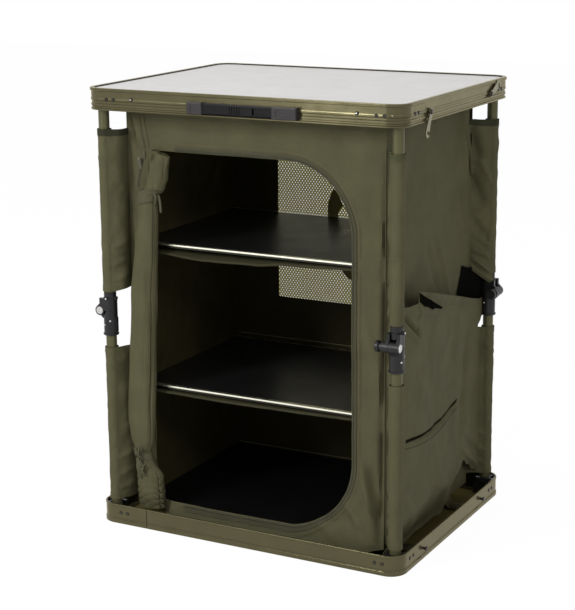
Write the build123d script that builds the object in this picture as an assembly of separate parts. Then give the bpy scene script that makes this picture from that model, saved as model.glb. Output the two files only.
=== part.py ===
from build123d import *
import math
import os

# Collapsible camping cupboard: a flat case whose lid is a tabletop. Four jointed legs lift the lid off the
# tray, and a fabric cupboard with shelves hangs between them. Millimetres, +Z up, +X to the right seen from
# the door, origin on the ground under the middle of the tray.

# Overall sizes
WIDTH = 600.0
DEPTH = 470.0
HEIGHT = 790.0
CORNER_RADIUS = 30.0

# Aluminium extrusions of the two frames
TRAY_HEIGHT = 36.0
LID_HEIGHT = 38.0
RAIL_WALL = 3.2
BEAD_GROOVE = 1.5
TRAY_JOINT_X = -199.0
TRAY_JOINT_GAP = 1.2
TRAY_FLANGE_WIDTH = 20.0
TRAY_FLANGE_THICKNESS = 2.2
LEDGE_WIDTH = 16.0
LEDGE_THICKNESS = 2.0
LID_LIP_WIDTH = 6.0
LID_LIP_DROP = 2.2
LID_LIP_OVERHANG = 1.4
LID_LIP_HEIGHT = 5.4
LID_BAND_SETBACK = 0.6
TABLETOP_THICKNESS = 4.8
TABLETOP_GAP = 0.2

# Legs: half-length between pivots, tube, and where the pivots lie
TUBE_RADIUS = 9.5
TUBE_WALL = 1.2
LEG_FOLD_INSET = 26.0
LEG_SIDE_INSET = 20.0
PIVOT_HEIGHT = 23.0
KNEE_OFFSET = 15.0
PIVOT_PIN_RADIUS = 3.0
PIVOT_PIN_SETBACK = 1.4
PIN_CLEARANCE = 0.08
OPEN_PIVOT_CLEARANCE = 0.3
RUNNING_GAP = 0.3
SEAT_GAP = 0.1

# Knee joint
KNEE_RADIUS = 12.5
KNEE_LUG_RADIUS = 9.0
KNEE_LUG_HALF_WIDTH = 6.2
KNEE_LOWER_LENGTH = 45.0
KNEE_UPPER_LENGTH = 33.0
KNEE_TUBE_STOP = 17.0
KNEE_FLANGE_RADIUS = 14.0
KNEE_FLANGE_HEIGHT = 4.0
KNEE_BODY_TOP = 22.5
KNEE_COLLAR_RADIUS = 11.0
KNEE_EAR_REACH = 14.2
KNEE_EAR_HEIGHT = 5.5
KNEE_PIN_RADIUS = 3.5
KNEE_CAP_RADIUS = 6.8
KNEE_CAP_THICKNESS = 0.9
BARREL_RADIUS = 9.0
BARREL_END = 18.5
BUTTON_STEM_RADIUS = 6.5
BUTTON_CAP_RADIUS = 9.5
BUTTON_CAP_THICKNESS = 6.0
BUTTON_TRAVEL = 5.0
BUTTON_STEM_START = 14.2

# Corner brackets
BRACKET_ARM = 66.0
BRACKET_ARM_WALL = 2.8
BRACKET_CHEEK_GAP = 0.6
BRACKET_INNER_CHEEK = 5.0
BRACKET_CHEEK_REACH = 38.0
BRACKET_ARM_SLOPE = 12.0
BRACKET_FLOOR = 5.5
BRACKET_TOP_GAP = 2.0

# Fasteners
RIVET_RADIUS = 3.2
RIVET_HEAD = 1.2
RIVET_SETBACK = 46.0
FRONT_RIGHT_RIVET_SETBACK = 33.0
RIVET_PITCH = 14.0
SHANK_END_GAP = 0.4
LID_RIVET_DROP = 19.0
TRAY_RIVET_DROP = 2.0
SCREW_LEFT = -204.0
SCREW_RIGHT = 219.5
SCREW_RADIUS = 3.2
SCREW_HEAD = 1.4
SCREW_DROP = 17.0

# Case latches
HOOK_END_INSET = 102.0
HOOK_PIVOT_DROP = 22.0
HOOK_THICKNESS = 2.0
HOOK_STANDOFF = 1.6
HOOK_PIN_RADIUS = 2.4
HOOK_SWING = 112.0
HOOK_LEAN = 25.0
STUD_NECK_RADIUS = 2.3
STUD_HEAD_RADIUS = 4.4
STUD_HEAD_THICKNESS = 2.0
HOOK_SLOT_CLEARANCE = 0.5
STUD_HEIGHT = 18.5

# Handle
HANDLE_LEFT = -89.0
HANDLE_LEFT_CAP = 30.0
HANDLE_RIGHT = 117.0
HANDLE_RIGHT_CAP = 46.0
HANDLE_HEIGHT = 21.0
HANDLE_CENTRE_DROP = 23.7
HANDLE_CAP_DEPTH = 11.0
HANDLE_GRIP_DEPTH = 8.0
HANDLE_RIB_PITCH = 4.6
HANDLE_RIBS = 5
HANDLE_RIB_SHIFT = -4.0

# Fabric cupboard, set in from the case so that the legs stand outside its corners
CUPBOARD_SIDE_INSET = 52.0
CUPBOARD_END_INSET = 50.5
CLOTH = 1.2
FLOOR_HEIGHT = 25.0
DOOR_LEFT_STRIP = 60.0
DOOR_RIGHT_STRIP = 61.0
DOOR_BOTTOM = 45.0
DOOR_TOP_DROP = 109.0
DOOR_CORNER = 122.0
WINDOW_WIDTH = 300.0
WINDOW_HEIGHT = 360.0
WINDOW_TOP_DROP = 84.0
NET_MARGIN = 8.0
NET_COLUMNS = 12
NET_ROWS = 14
NET_OPEN_SHARE = 0.72

# Sleeves round the leg tubes, ending short of the brackets and of the knees
SLEEVE_RADIUS = 11.2
SLEEVE_FOOT_DROP = 42.0
SLEEVE_TOP_DROP = 82.0
SLEEVE_BELOW_KNEE = 67.0
SLEEVE_ABOVE_KNEE = 35.0

# Rolled-up door, held by two ties
ROLL_SETBACK = 32.0
ROLL_RADIUS = 15.0
ROLL_BOTTOM = 24.0
ROLL_ABOVE_DOOR = 3.0
UPPER_TIE_DROP = 202.0
LOWER_TIE_HEIGHT = 130.0
TIE_WIDTH = 20.0
TIE_THICKNESS = 1.6

# Zip round the door opening
ZIP_WIDTH = 9.0
ZIP_THICKNESS = 1.0
SLIDER_LENGTH = 16.0

# Side pocket on the right wall
POCKET_DEPTH = 28.0
POCKET_FRONT_INSET = 54.0
POCKET_BACK_INSET = 59.0
POCKET_BOTTOM = 30.0
POCKET_ABOVE_KNEE = 43.0
SLOT_HEIGHT = 224.0
SLOT_SETBACK = 13.0
SLOT_LENGTH = 225.0
SLOT_GAP = 1.2

# Shelves
BOARD_THICKNESS = 4.0
SHELF_SIDE_GAP = 5.0
SHELF_END_GAP = 6.5
UPPER_SHELF_TOP = 516.0
LOWER_SHELF_TOP = 257.0
SHELF_RAIL_HEIGHT = 6.0
SHELF_RAIL_DEPTH = 9.0
SHELF_RAIL_WALL = 0.9
BOARD_FIT = 0.05
BOARD_END_SETBACK = 2.0
FLOOR_BOARD_SIDE_GAP = 4.0
FLOOR_BOARD_END_GAP = 4.5
FLOOR_BOARD_THICKNESS = 5.0

# Cross straps under the floor
STRAP_OFFSET = 112.0
STRAP_WIDTH = 30.0
STRAP_THICKNESS = 3.0
STRAP_RAMP = 12.0
STRAP_RAMP_INSET = 12.0

# Places that follow from the sizes above
LID_BOTTOM = HEIGHT - LID_HEIGHT
UPPER_PIVOT_HEIGHT = HEIGHT - PIVOT_HEIGHT
KNEE_HEIGHT = HEIGHT / 2.0
PANEL_TOP = HEIGHT - LID_LIP_DROP
PANEL_BOTTOM = PANEL_TOP - TABLETOP_THICKNESS
LEDGE_BOTTOM = PANEL_BOTTOM - LEDGE_THICKNESS
FRONT_FACE = -DEPTH / 2.0
HOOK_PIVOT_Y = DEPTH / 2.0 - HOOK_END_INSET
WALL_TOP = PANEL_BOTTOM - RUNNING_GAP
CUPBOARD_WIDTH = WIDTH - 2.0 * CUPBOARD_SIDE_INSET
CUPBOARD_DEPTH = DEPTH - 2.0 * CUPBOARD_END_INSET
FRONT_WALL_Y = -CUPBOARD_DEPTH / 2.0
DOOR_LEFT = DOOR_LEFT_STRIP - CUPBOARD_WIDTH / 2.0
DOOR_RIGHT = CUPBOARD_WIDTH / 2.0 - DOOR_RIGHT_STRIP
DOOR_TOP = HEIGHT - DOOR_TOP_DROP
WINDOW_TOP = HEIGHT - WINDOW_TOP_DROP
WINDOW_BOTTOM = WINDOW_TOP - WINDOW_HEIGHT
LOWER_SLEEVE_BOTTOM = SLEEVE_FOOT_DROP
LOWER_SLEEVE_TOP = KNEE_HEIGHT - SLEEVE_BELOW_KNEE
UPPER_SLEEVE_BOTTOM = KNEE_HEIGHT + SLEEVE_ABOVE_KNEE
UPPER_SLEEVE_TOP = HEIGHT - SLEEVE_TOP_DROP
ROLL_CENTRE_X = ROLL_SETBACK - CUPBOARD_WIDTH / 2.0
ROLL_TOP = DOOR_TOP + ROLL_ABOVE_DOOR
UPPER_TIE_HEIGHT = HEIGHT - UPPER_TIE_DROP
POCKET_FRONT = POCKET_FRONT_INSET - DEPTH / 2.0
POCKET_BACK = DEPTH / 2.0 - POCKET_BACK_INSET
POCKET_TOP = KNEE_HEIGHT + POCKET_ABOVE_KNEE
SLOT_FRONT = POCKET_FRONT + SLOT_SETBACK
SHELF_LENGTH = CUPBOARD_WIDTH - 2.0 * SHELF_SIDE_GAP
SHELF_DEPTH = CUPBOARD_DEPTH - 2.0 * SHELF_END_GAP
FLOOR_BOARD_LENGTH = CUPBOARD_WIDTH - 2.0 * FLOOR_BOARD_SIDE_GAP
FLOOR_BOARD_DEPTH = CUPBOARD_DEPTH - 2.0 * FLOOR_BOARD_END_GAP
STRAP_RAISED_HALF = CUPBOARD_WIDTH / 2.0 - STRAP_RAMP_INSET

# The four corners, each turned so that its leg folds along the next rail round the case
CORNERS = {
    "front_left": (-WIDTH / 2.0, -DEPTH / 2.0, 0.0),
    "front_right": (WIDTH / 2.0, -DEPTH / 2.0, 90.0),
    "rear_right": (WIDTH / 2.0, DEPTH / 2.0, 180.0),
    "rear_left": (-WIDTH / 2.0, DEPTH / 2.0, 270.0),
}


def at_corner(corner, shape):
    """Moves a shape from the corner's own frame (fold way, side way, up) to its place on the case."""
    x, y, turn = CORNERS[corner]
    return Pos(x, y, 0) * Rot(0, 0, turn) * shape


def block(x0, x1, y0, y1, z0, z1):
    """A box between two corners."""
    return Pos((x0 + x1) / 2, (y0 + y1) / 2, (z0 + z1) / 2) * Box(x1 - x0, y1 - y0, z1 - z0)


def bar_x(radius, x0, x1, y, z):
    return Pos((x0 + x1) / 2, y, z) * Rot(0, 90, 0) * Cylinder(radius, x1 - x0)


def bar_y(radius, x, y0, y1, z):
    return Pos(x, (y0 + y1) / 2, z) * Rot(90, 0, 0) * Cylinder(radius, y1 - y0)


def bar_z(radius, x, y, z0, z1):
    return Pos(x, y, (z0 + z1) / 2) * Cylinder(radius, z1 - z0)


def prism_y(points, y0, y1):
    """A closed outline in X and Z, pushed along Y."""
    outline = Plane.XZ * make_face(Polyline(*points, close=True))
    return Pos(0, y1, 0) * extrude(outline, y1 - y0)


def prism_x(points, x0, x1):
    """A closed outline in Y and Z, pushed along X."""
    outline = Plane.YZ * make_face(Polyline(*points, close=True))
    return Pos(x0, 0, 0) * extrude(outline, x1 - x0)


def frame_sweep(section_points):
    """Runs a rail section, given as distance inside the outer face and height, round the case."""
    half_x, half_y, r = WIDTH / 2, DEPTH / 2, CORNER_RADIUS
    sides = []
    section = make_face(Polyline(*section_points, close=True))
    lengths = ((WIDTH - 2 * r, DEPTH / 2, 0), (DEPTH - 2 * r, WIDTH / 2, 90))
    for length, reach, turn in lengths:
        for flip in (0, 180):
            straight = Plane((-length / 2, -reach, 0), x_dir=(0, 1, 0), z_dir=(1, 0, 0)) * section
            sides.append(Rot(0, 0, turn + flip) * extrude(straight, length))
    corner_section = Plane((0, -r, 0), x_dir=(0, 1, 0), z_dir=(1, 0, 0)) * section
    bend = revolve(corner_section, Axis.Z, 90)
    bend_centres = ((half_x - r, r - half_y), (half_x - r, half_y - r), (r - half_x, half_y - r),
                    (r - half_x, r - half_y))
    for quarter, (x, y) in enumerate(bend_centres):
        sides.append(Pos(x, y, 0) * Rot(0, 0, 90 * quarter) * bend)
    ring = sides[0]
    for piece in sides[1:]:
        ring = ring + piece
    return ring


def mirrored(shape):
    """The same shape turned upside down about the knee height, for the upper end of a leg."""
    return mirror(shape, Plane.XY.offset(KNEE_HEIGHT))


def tray_frame():
    """Bent aluminium extrusion: flange to stand on, outward bead at the foot, flat face, thin top edge."""
    g, top = BEAD_GROOVE, TRAY_HEIGHT
    section = [
        (0.0, 0.8), (0.8, 0.0), (TRAY_FLANGE_WIDTH, 0.0), (TRAY_FLANGE_WIDTH, TRAY_FLANGE_THICKNESS),
        (RAIL_WALL, TRAY_FLANGE_THICKNESS), (RAIL_WALL, top), (0.9, top), (0.3, top - 0.8), (0.3, top - 3.0),
        (g * 0.7, top - 3.6), (g * 0.7, 11.0), (g, 10.0), (g, 8.0), (0.0, 7.0),
    ]
    return frame_sweep(section)


def top_frame():
    """Bent aluminium extrusion of the lid: lip round the tabletop, flat band, beads, ledge for the panel."""
    g, top, foot, band = BEAD_GROOVE, HEIGHT, LID_BOTTOM, LID_BAND_SETBACK
    lip, under = -LID_LIP_OVERHANG, top - LID_LIP_HEIGHT
    section = [
        (0.0, foot + 0.8), (0.8, foot), (RAIL_WALL, foot), (RAIL_WALL, LEDGE_BOTTOM),
        (LEDGE_WIDTH, LEDGE_BOTTOM), (LEDGE_WIDTH, PANEL_BOTTOM), (LID_LIP_WIDTH, PANEL_BOTTOM),
        (LID_LIP_WIDTH, top - 0.6), (LID_LIP_WIDTH - 0.8, top), (lip + 1.2, top), (lip, top - 1.2),
        (lip, under + 0.8), (lip + 0.8, under), (band, under), (band, top - 17.0), (0.0, top - 18.6),
        (0.0, top - 21.2), (g, top - 22.6), (g, top - 26.0), (0.2, top - 27.2), (0.2, top - 30.6),
        (g, top - 31.8), (g, top - 34.0), (0.0, top - 35.2),
    ]
    return frame_sweep(section)


def tabletop():
    inset = LID_LIP_WIDTH + TABLETOP_GAP
    radius = CORNER_RADIUS - inset
    face = RectangleRounded(WIDTH - 2 * inset, DEPTH - 2 * inset, radius)
    return Pos(0, 0, PANEL_BOTTOM) * extrude(face, TABLETOP_THICKNESS)


def tray_bracket():
    """Moulded corner bracket, in the corner's own frame: cheeks for the leg pivot, an arm along each rail."""
    near, far = RAIL_WALL, RAIL_WALL + BRACKET_ARM_WALL
    low = TRAY_FLANGE_THICKNESS
    high = TRAY_HEIGHT - BRACKET_TOP_GAP
    outer = LEG_SIDE_INSET - TUBE_RADIUS - BRACKET_CHEEK_GAP
    inner = LEG_SIDE_INSET + TUBE_RADIUS + BRACKET_CHEEK_GAP
    stop = LEG_FOLD_INSET - TUBE_RADIUS - BRACKET_CHEEK_GAP
    slope, reach = BRACKET_ARM_SLOPE, BRACKET_CHEEK_REACH
    arm_outline = [(near, low), (BRACKET_ARM, low), (BRACKET_ARM, high - slope), (BRACKET_ARM - slope, high),
                   (near, high)]
    cheek_outline = [(near, low), (reach + slope / 2, low), (reach, high), (near, high)]
    arms = prism_y(arm_outline, near, far) + prism_x(arm_outline, near, far)
    cheeks = prism_y(cheek_outline, near, outer) + prism_y(cheek_outline, inner, inner + BRACKET_INNER_CHEEK)
    web = block(near, stop, near, inner + BRACKET_INNER_CHEEK, low, high)
    floor = block(near, reach, near, inner + 1, low, low + BRACKET_FLOOR)
    body = arms + cheeks + web + floor
    body = body - block(near + 3.5, stop - 3.5, near + slope, inner, low + BRACKET_FLOOR, high + 1)
    body = body - bar_y(PIVOT_PIN_RADIUS, LEG_FOLD_INSET, 0, inner + BRACKET_INNER_CHEEK + 1, PIVOT_HEIGHT)
    outside = bar_z(CORNER_RADIUS - RAIL_WALL - SEAT_GAP, CORNER_RADIUS, CORNER_RADIUS, low - 1, high + 1)
    square = block(0, CORNER_RADIUS, 0, CORNER_RADIUS, low - 1, high + 1)
    return body - (square - outside)


def top_bracket():
    """The same bracket upside down in the lid, cut level under the panel's ledge."""
    spare = TRAY_HEIGHT - BRACKET_TOP_GAP
    body = mirrored(tray_bracket())
    roof = HEIGHT - spare - 1
    return body & block(-1, BRACKET_ARM + 1, -1, BRACKET_ARM + 1, roof, LEDGE_BOTTOM)


def corner_brackets(one):
    return [at_corner(corner, one) for corner in CORNERS]


def pivot_pin(height):
    """Steel pin through both bracket cheeks and the leg, with a formed head inside the case."""
    end = LEG_SIDE_INSET + TUBE_RADIUS + BRACKET_CHEEK_GAP + BRACKET_INNER_CHEEK
    shank = bar_y(PIVOT_PIN_RADIUS, LEG_FOLD_INSET, RAIL_WALL + PIVOT_PIN_SETBACK, end, height)
    head = bar_y(PIVOT_PIN_RADIUS * 1.6, LEG_FOLD_INSET, end, end + 1.4, height)
    return shank + head


def domed_head(radius, thickness):
    """A rivet head standing on the plane z = 0."""
    disc = Cylinder(radius, thickness, align=(Align.CENTER, Align.CENTER, Align.MIN))
    return chamfer(disc.edges().group_by(Axis.Z)[-1], thickness * 0.5)


def side_setback(corner):
    """Distance of the first rivet from the corner on the rail that the corner's leg doesn't fold along."""
    return FRONT_RIGHT_RIVET_SETBACK if corner == "front_right" else RIVET_SETBACK


def rivet_set(height, groove, corner):
    """Head and shank of the two rivets on each face of one corner, in the corner's own frame."""
    rivets = []
    depth = RAIL_WALL + BRACKET_ARM_WALL - groove - SHANK_END_GAP
    for step in (0, 1):
        along = RIVET_SETBACK + step * RIVET_PITCH
        beside = side_setback(corner) + step * RIVET_PITCH
        head = domed_head(RIVET_RADIUS, RIVET_HEAD)
        shank = Pos(0, 0, -depth / 2) * Cylinder(RIVET_RADIUS * 0.5, depth)
        rivet = head + shank
        rivets.append(Pos(along, groove, height) * Rot(90, 0, 0) * rivet)
        rivets.append(Pos(groove, beside, height) * Rot(0, -90, 0) * rivet)
    return rivets


def rivet_holes(height, corner):
    holes = []
    for step in (0, 1):
        along = RIVET_SETBACK + step * RIVET_PITCH
        beside = side_setback(corner) + step * RIVET_PITCH
        holes.append(bar_y(RIVET_RADIUS * 0.5, along, -2, RAIL_WALL + BRACKET_ARM_WALL, height))
        holes.append(bar_x(RIVET_RADIUS * 0.5, -2, RAIL_WALL + BRACKET_ARM_WALL, beside, height))
    return holes


def leg_tube(pivot_clearance):
    """Lower half tube in the corner's own frame: closed round end on the pivot, open end in the knee."""
    a, b = LEG_FOLD_INSET, LEG_SIDE_INSET
    end = KNEE_HEIGHT - KNEE_TUBE_STOP
    round_end = bar_y(TUBE_RADIUS, a, b - TUBE_RADIUS, b + TUBE_RADIUS, PIVOT_HEIGHT)
    outer = bar_z(TUBE_RADIUS, a, b, PIVOT_HEIGHT, end) + round_end
    outer = outer & bar_z(TUBE_RADIUS, a, b, PIVOT_HEIGHT - 2 * TUBE_RADIUS, end + 1)
    bore = bar_z(TUBE_RADIUS - TUBE_WALL, a, b, PIVOT_HEIGHT + 2 * TUBE_RADIUS, end + 1)
    hole_radius = PIVOT_PIN_RADIUS + pivot_clearance
    pin_hole = bar_y(hole_radius, a, b - 2 * TUBE_RADIUS, b + 2 * TUBE_RADIUS, PIVOT_HEIGHT)
    return outer - bore - pin_hole


def knee_hull(sign):
    """Pivot lug drawn in X and Z about the knee point: round eye, straight flank back to the housing."""
    reach = KNEE_LUG_RADIUS / math.sqrt(2)
    flank = KNEE_OFFSET + reach
    foot = flank - KNEE_RADIUS + reach
    parting = sign * RUNNING_GAP / 2
    wedge_outline = [(0, parting), (-KNEE_OFFSET, parting), (-flank, sign * reach),
                     (-KNEE_RADIUS, sign * foot), (0, sign * foot)]
    wedge = prism_y(wedge_outline, -KNEE_RADIUS, KNEE_RADIUS)
    eye = bar_y(KNEE_LUG_RADIUS, -KNEE_OFFSET, -KNEE_RADIUS, KNEE_RADIUS, 0)
    return wedge + eye


def slab_y(half, inner=0.0):
    """Space between two distances either side of the leg's middle plane."""
    reach = 60.0
    if inner == 0.0:
        return block(-reach, reach, -half, half, -reach, reach)
    near_side = block(-reach, reach, -half, -inner, -reach, reach)
    return block(-reach, reach, inner, half, -reach, reach) + near_side


def lower_knee():
    """Lower knee moulding about the knee point: socket for the tube, foot flange, single middle lug."""
    gap = RUNNING_GAP / 2
    body = bar_z(KNEE_RADIUS, 0, 0, -KNEE_LOWER_LENGTH, -gap)
    body = body + Pos(0, 0, -KNEE_LOWER_LENGTH + 2) * chamfer(
        Cylinder(KNEE_FLANGE_RADIUS, KNEE_FLANGE_HEIGHT).edges(), 1.0)
    sweep_room = bar_y(KNEE_RADIUS + RUNNING_GAP, -KNEE_OFFSET, -KNEE_RADIUS - 3, KNEE_RADIUS + 3, 0)
    body = body - (sweep_room & slab_y(KNEE_RADIUS + 3, KNEE_LUG_HALF_WIDTH))
    body = body + (knee_hull(-1) & slab_y(KNEE_LUG_HALF_WIDTH))
    body = body - bar_z(TUBE_RADIUS + SEAT_GAP, 0, 0, -KNEE_LOWER_LENGTH - 1, -KNEE_TUBE_STOP)
    body = body - bar_y(KNEE_PIN_RADIUS + PIN_CLEARANCE, -KNEE_OFFSET, -KNEE_RADIUS, KNEE_RADIUS, 0)
    rib = block(KNEE_RADIUS - 0.8, KNEE_RADIUS + 1.2, -3.5, 3.5, -38, -12)
    return body + rib


def upper_knee():
    """Upper knee moulding about the knee point: tube socket with screw ears, two side lugs, button barrel."""
    gap = RUNNING_GAP / 2
    collar = bar_z(KNEE_COLLAR_RADIUS, 0, 0, gap, KNEE_UPPER_LENGTH)
    body = bar_z(KNEE_RADIUS, 0, 0, gap, KNEE_BODY_TOP) + collar
    ear_top = KNEE_BODY_TOP + KNEE_EAR_HEIGHT / 2
    body = body + block(0, KNEE_EAR_REACH, -3, 3, ear_top - KNEE_EAR_HEIGHT, ear_top)
    body = body + block(-3, 3, -KNEE_EAR_REACH, 0, ear_top - KNEE_EAR_HEIGHT, ear_top)
    sweep_room = bar_y(KNEE_RADIUS + RUNNING_GAP, -KNEE_OFFSET, -KNEE_RADIUS - 3, KNEE_RADIUS + 3, 0)
    middle = KNEE_LUG_HALF_WIDTH + RUNNING_GAP
    body = body - (sweep_room & slab_y(middle))
    body = body + (knee_hull(1) & slab_y(KNEE_RADIUS, middle))
    shoulder = block(-KNEE_OFFSET, 0, -KNEE_RADIUS, KNEE_RADIUS, KNEE_LUG_RADIUS * 0.7, KNEE_BODY_TOP)
    body = body + (shoulder & slab_y(KNEE_RADIUS, middle))
    barrel = bar_y(BARREL_RADIUS, -KNEE_OFFSET, KNEE_RADIUS - 1, BARREL_END, 0)
    body = body + barrel
    body = body - bar_z(TUBE_RADIUS + SEAT_GAP, 0, 0, KNEE_TUBE_STOP, KNEE_UPPER_LENGTH + 1)
    body = body - bar_y(KNEE_PIN_RADIUS, -KNEE_OFFSET, -KNEE_RADIUS - 1, BARREL_END, 0)
    shoulder = BUTTON_STEM_START - BUTTON_TRAVEL - 0.2
    body = body - bar_y(BUTTON_STEM_RADIUS + PIN_CLEARANCE, -KNEE_OFFSET, shoulder, BARREL_END + 1, 0)
    return body


def knee_pin():
    """Steel knee pin with its bright pressed cap on the outer side."""
    tip = BARREL_END - 1.0
    shank = bar_y(KNEE_PIN_RADIUS, -KNEE_OFFSET, -KNEE_RADIUS, tip, 0)
    cap = Pos(-KNEE_OFFSET, -KNEE_RADIUS, 0) * Rot(90, 0, 0) * domed_head(KNEE_CAP_RADIUS, KNEE_CAP_THICKNESS)
    return shank + cap


def knee_button():
    """Release button: hollow stem over the pin end, round cap with a ribbed rim."""
    stem_top = BARREL_END + BUTTON_TRAVEL + 0.5
    stem = bar_y(BUTTON_STEM_RADIUS, -KNEE_OFFSET, BUTTON_STEM_START, stem_top, 0)
    disc = Cylinder(BUTTON_CAP_RADIUS, BUTTON_CAP_THICKNESS, align=(Align.CENTER, Align.CENTER, Align.MIN))
    cap = Pos(-KNEE_OFFSET, stem_top, 0) * Rot(-90, 0, 0) * chamfer(disc.edges(), 0.9)
    bore_end = BARREL_END + BUTTON_TRAVEL - 0.8
    bore = bar_y(KNEE_PIN_RADIUS + RUNNING_GAP, -KNEE_OFFSET, BUTTON_STEM_START - 1, bore_end, 0)
    return stem + cap - bore


def at_knee(shape):
    """Moves a knee piece from the knee point to its place in the corner's own frame."""
    return Pos(LEG_FOLD_INSET, LEG_SIDE_INSET, KNEE_HEIGHT) * shape


def sleeve(low, high):
    """Fabric sleeve round a leg tube, a little fuller than the tube."""
    a, b = LEG_FOLD_INSET, LEG_SIDE_INSET
    outer = bar_z(SLEEVE_RADIUS, a, b, low, high)
    return outer - bar_z(TUBE_RADIUS + SEAT_GAP, a, b, low - 1, high + 1)


def latch_stud():
    """Mushroom stud standing out along +X from the plane x = 0."""
    neck = HOOK_STANDOFF + HOOK_THICKNESS + HOOK_SLOT_CLEARANCE
    stem = bar_x(STUD_NECK_RADIUS, -RAIL_WALL, neck, 0, 0)
    head = Pos(neck, 0, 0) * Rot(0, 90, 0) * domed_head(STUD_HEAD_RADIUS, STUD_HEAD_THICKNESS)
    return stem + head


def latch_hook():
    """Flat hook hanging from its pivot at the origin, mouth towards -Y, in the plane of Y and Z."""
    reach = HEIGHT - HOOK_PIVOT_DROP - (UPPER_PIVOT_HEIGHT - (2 * KNEE_OFFSET + PIVOT_HEIGHT)) - STUD_HEIGHT
    x0, x1 = HOOK_STANDOFF, HOOK_STANDOFF + HOOK_THICKNESS
    eye = bar_x(6.5, x0, x1, 0, 0)
    shank_outline = [(-4.5, 0), (4.5, 0), (6.5, -reach + 12), (7.5, -reach - 1), (3.0, -reach - 8),
                     (-2.0, -reach - 9.5), (-8.5, -reach - 3.4), (-5.5, -reach + 8)]
    shank = prism_x(shank_outline, x0, x1)
    slot_radius = STUD_NECK_RADIUS + HOOK_SLOT_CLEARANCE
    end = bar_x(slot_radius, x0 - 1, x1 + 1, 0, -reach)
    band = bar_x(reach + slot_radius, x0 - 1, x1 + 1, 0, 0) - bar_x(reach - slot_radius, x0 - 2, x1 + 2, 0, 0)
    mouth = band & block(x0 - 1, x1 + 1, -30, 0, -reach - 20, 0)
    hook = eye + shank - end - mouth
    return hook - bar_x(HOOK_PIN_RADIUS + PIN_CLEARANCE, x0 - 1, x1 + 1, 0, 0)


def latch_screw():
    """Pivot screw of a hook, with a spacing collar against the frame and a slotted head."""
    collar = bar_x(4.6, -0.0, HOOK_STANDOFF - SEAT_GAP, 0, 0)
    head_at = HOOK_STANDOFF + HOOK_THICKNESS + SEAT_GAP
    stem = bar_x(HOOK_PIN_RADIUS, -RAIL_WALL, head_at, 0, 0)
    head = Pos(head_at, 0, 0) * Rot(0, 90, 0) * domed_head(4.2, 1.8)
    slot = block(head_at + 0.9, head_at + 3, -5, 5, -0.5, 0.5)
    return collar + stem + head - slot


def latch_places():
    """Pivot position of each hook, with the side and end of the case that it is on."""
    for side_name, side in (("right", 1), ("left", -1)):
        for end_name, end in (("front", -1), ("rear", 1)):
            yield side_name, end_name, side, end


def on_side(side, end, y, z, shape):
    """Stands a +X fitting on the right or left face; its mouth side looks to the middle of the case."""
    if end < 0:
        shape = mirror(shape, Plane.XZ)
    if side < 0:
        shape = mirror(shape, Plane.YZ)
    return Pos(side * WIDTH / 2, end * y, z) * shape


def handle_cap(x0, x1):
    """End cap that holds the strap of the handle against the front rail."""
    z = HEIGHT - HANDLE_CENTRE_DROP
    half = HANDLE_HEIGHT / 2
    body = block(x0, x1, FRONT_FACE - HANDLE_CAP_DEPTH, FRONT_FACE, z - half, z + half)
    body = fillet(body.edges().filter_by(Axis.Z).group_by(Axis.Y)[0], 2.5)
    body = fillet(body.edges().filter_by(Axis.X).group_by(Axis.Y)[0], 2.0)
    window = block(x0 + 8, x1 - 8, FRONT_FACE - HANDLE_CAP_DEPTH - 1, FRONT_FACE - HANDLE_CAP_DEPTH + 0.8,
                   z - half + 5, z + half - 5)
    return body - window


def handle_grip():
    """Moulded grip: bevelled bar with a hollow at one end and ribs across the middle."""
    z = HEIGHT - HANDLE_CENTRE_DROP
    half = HANDLE_HEIGHT / 2 - 1.0
    x0 = HANDLE_LEFT + HANDLE_LEFT_CAP + RUNNING_GAP
    x1 = HANDLE_RIGHT - HANDLE_RIGHT_CAP - RUNNING_GAP
    back = FRONT_FACE - RUNNING_GAP
    front = back - HANDLE_GRIP_DEPTH
    body = block(x0, x1, front, back, z - half, z + half)
    body = chamfer(body.edges().filter_by(Axis.X).group_by(Axis.Y)[0], 2.2)
    tail = block(x1 - 36, x1 - 5, front - 1, front + 3.5, z - half + 4, z + half - 4)
    body = body - tail
    middle = (x0 + x1) / 2 + HANDLE_RIB_SHIFT
    for step in range(HANDLE_RIBS):
        x = middle + (step - (HANDLE_RIBS - 1) / 2) * HANDLE_RIB_PITCH
        body = body - block(x - 0.9, x + 0.9, front - 1, front + 1.1, z - half + 1, z + half - 3)
    return body


def frame_screw(x):
    """Button-head screw in the front rail of the lid."""
    shank = Pos(0, 0, -RAIL_WALL / 2) * Cylinder(SCREW_RADIUS * 0.5, RAIL_WALL)
    socket = Pos(0, 0, SCREW_HEAD - 0.4) * extrude(RegularPolygon(SCREW_RADIUS * 0.4, 6), 2)
    screw = domed_head(SCREW_RADIUS, SCREW_HEAD) + shank - socket
    return Pos(x, FRONT_FACE, HEIGHT - SCREW_DROP) * Rot(90, 0, 0) * screw


def door_outline(grow=0.0):
    """Door opening in X and Z: square left side, large round corners on the right."""
    x0, x1 = DOOR_LEFT - grow, DOOR_RIGHT + grow
    z0, z1 = DOOR_BOTTOM - grow, DOOR_TOP + grow
    r = DOOR_CORNER + grow
    edges = [
        Line((x0, z0), (x1 - r, z0)),
        RadiusArc((x1 - r, z0), (x1, z0 + r), -r),
        Line((x1, z0 + r), (x1, z1 - r)),
        RadiusArc((x1, z1 - r), (x1 - r, z1), -r),
        Line((x1 - r, z1), (x0, z1)),
        Line((x0, z1), (x0, z0)),
    ]
    return make_face(edges)


def push_y(face, y0, y1):
    """Pushes a face drawn in X and Z from y0 to y1."""
    return Pos(0, y1, 0) * extrude(Plane.XZ * face, y1 - y0)


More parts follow.
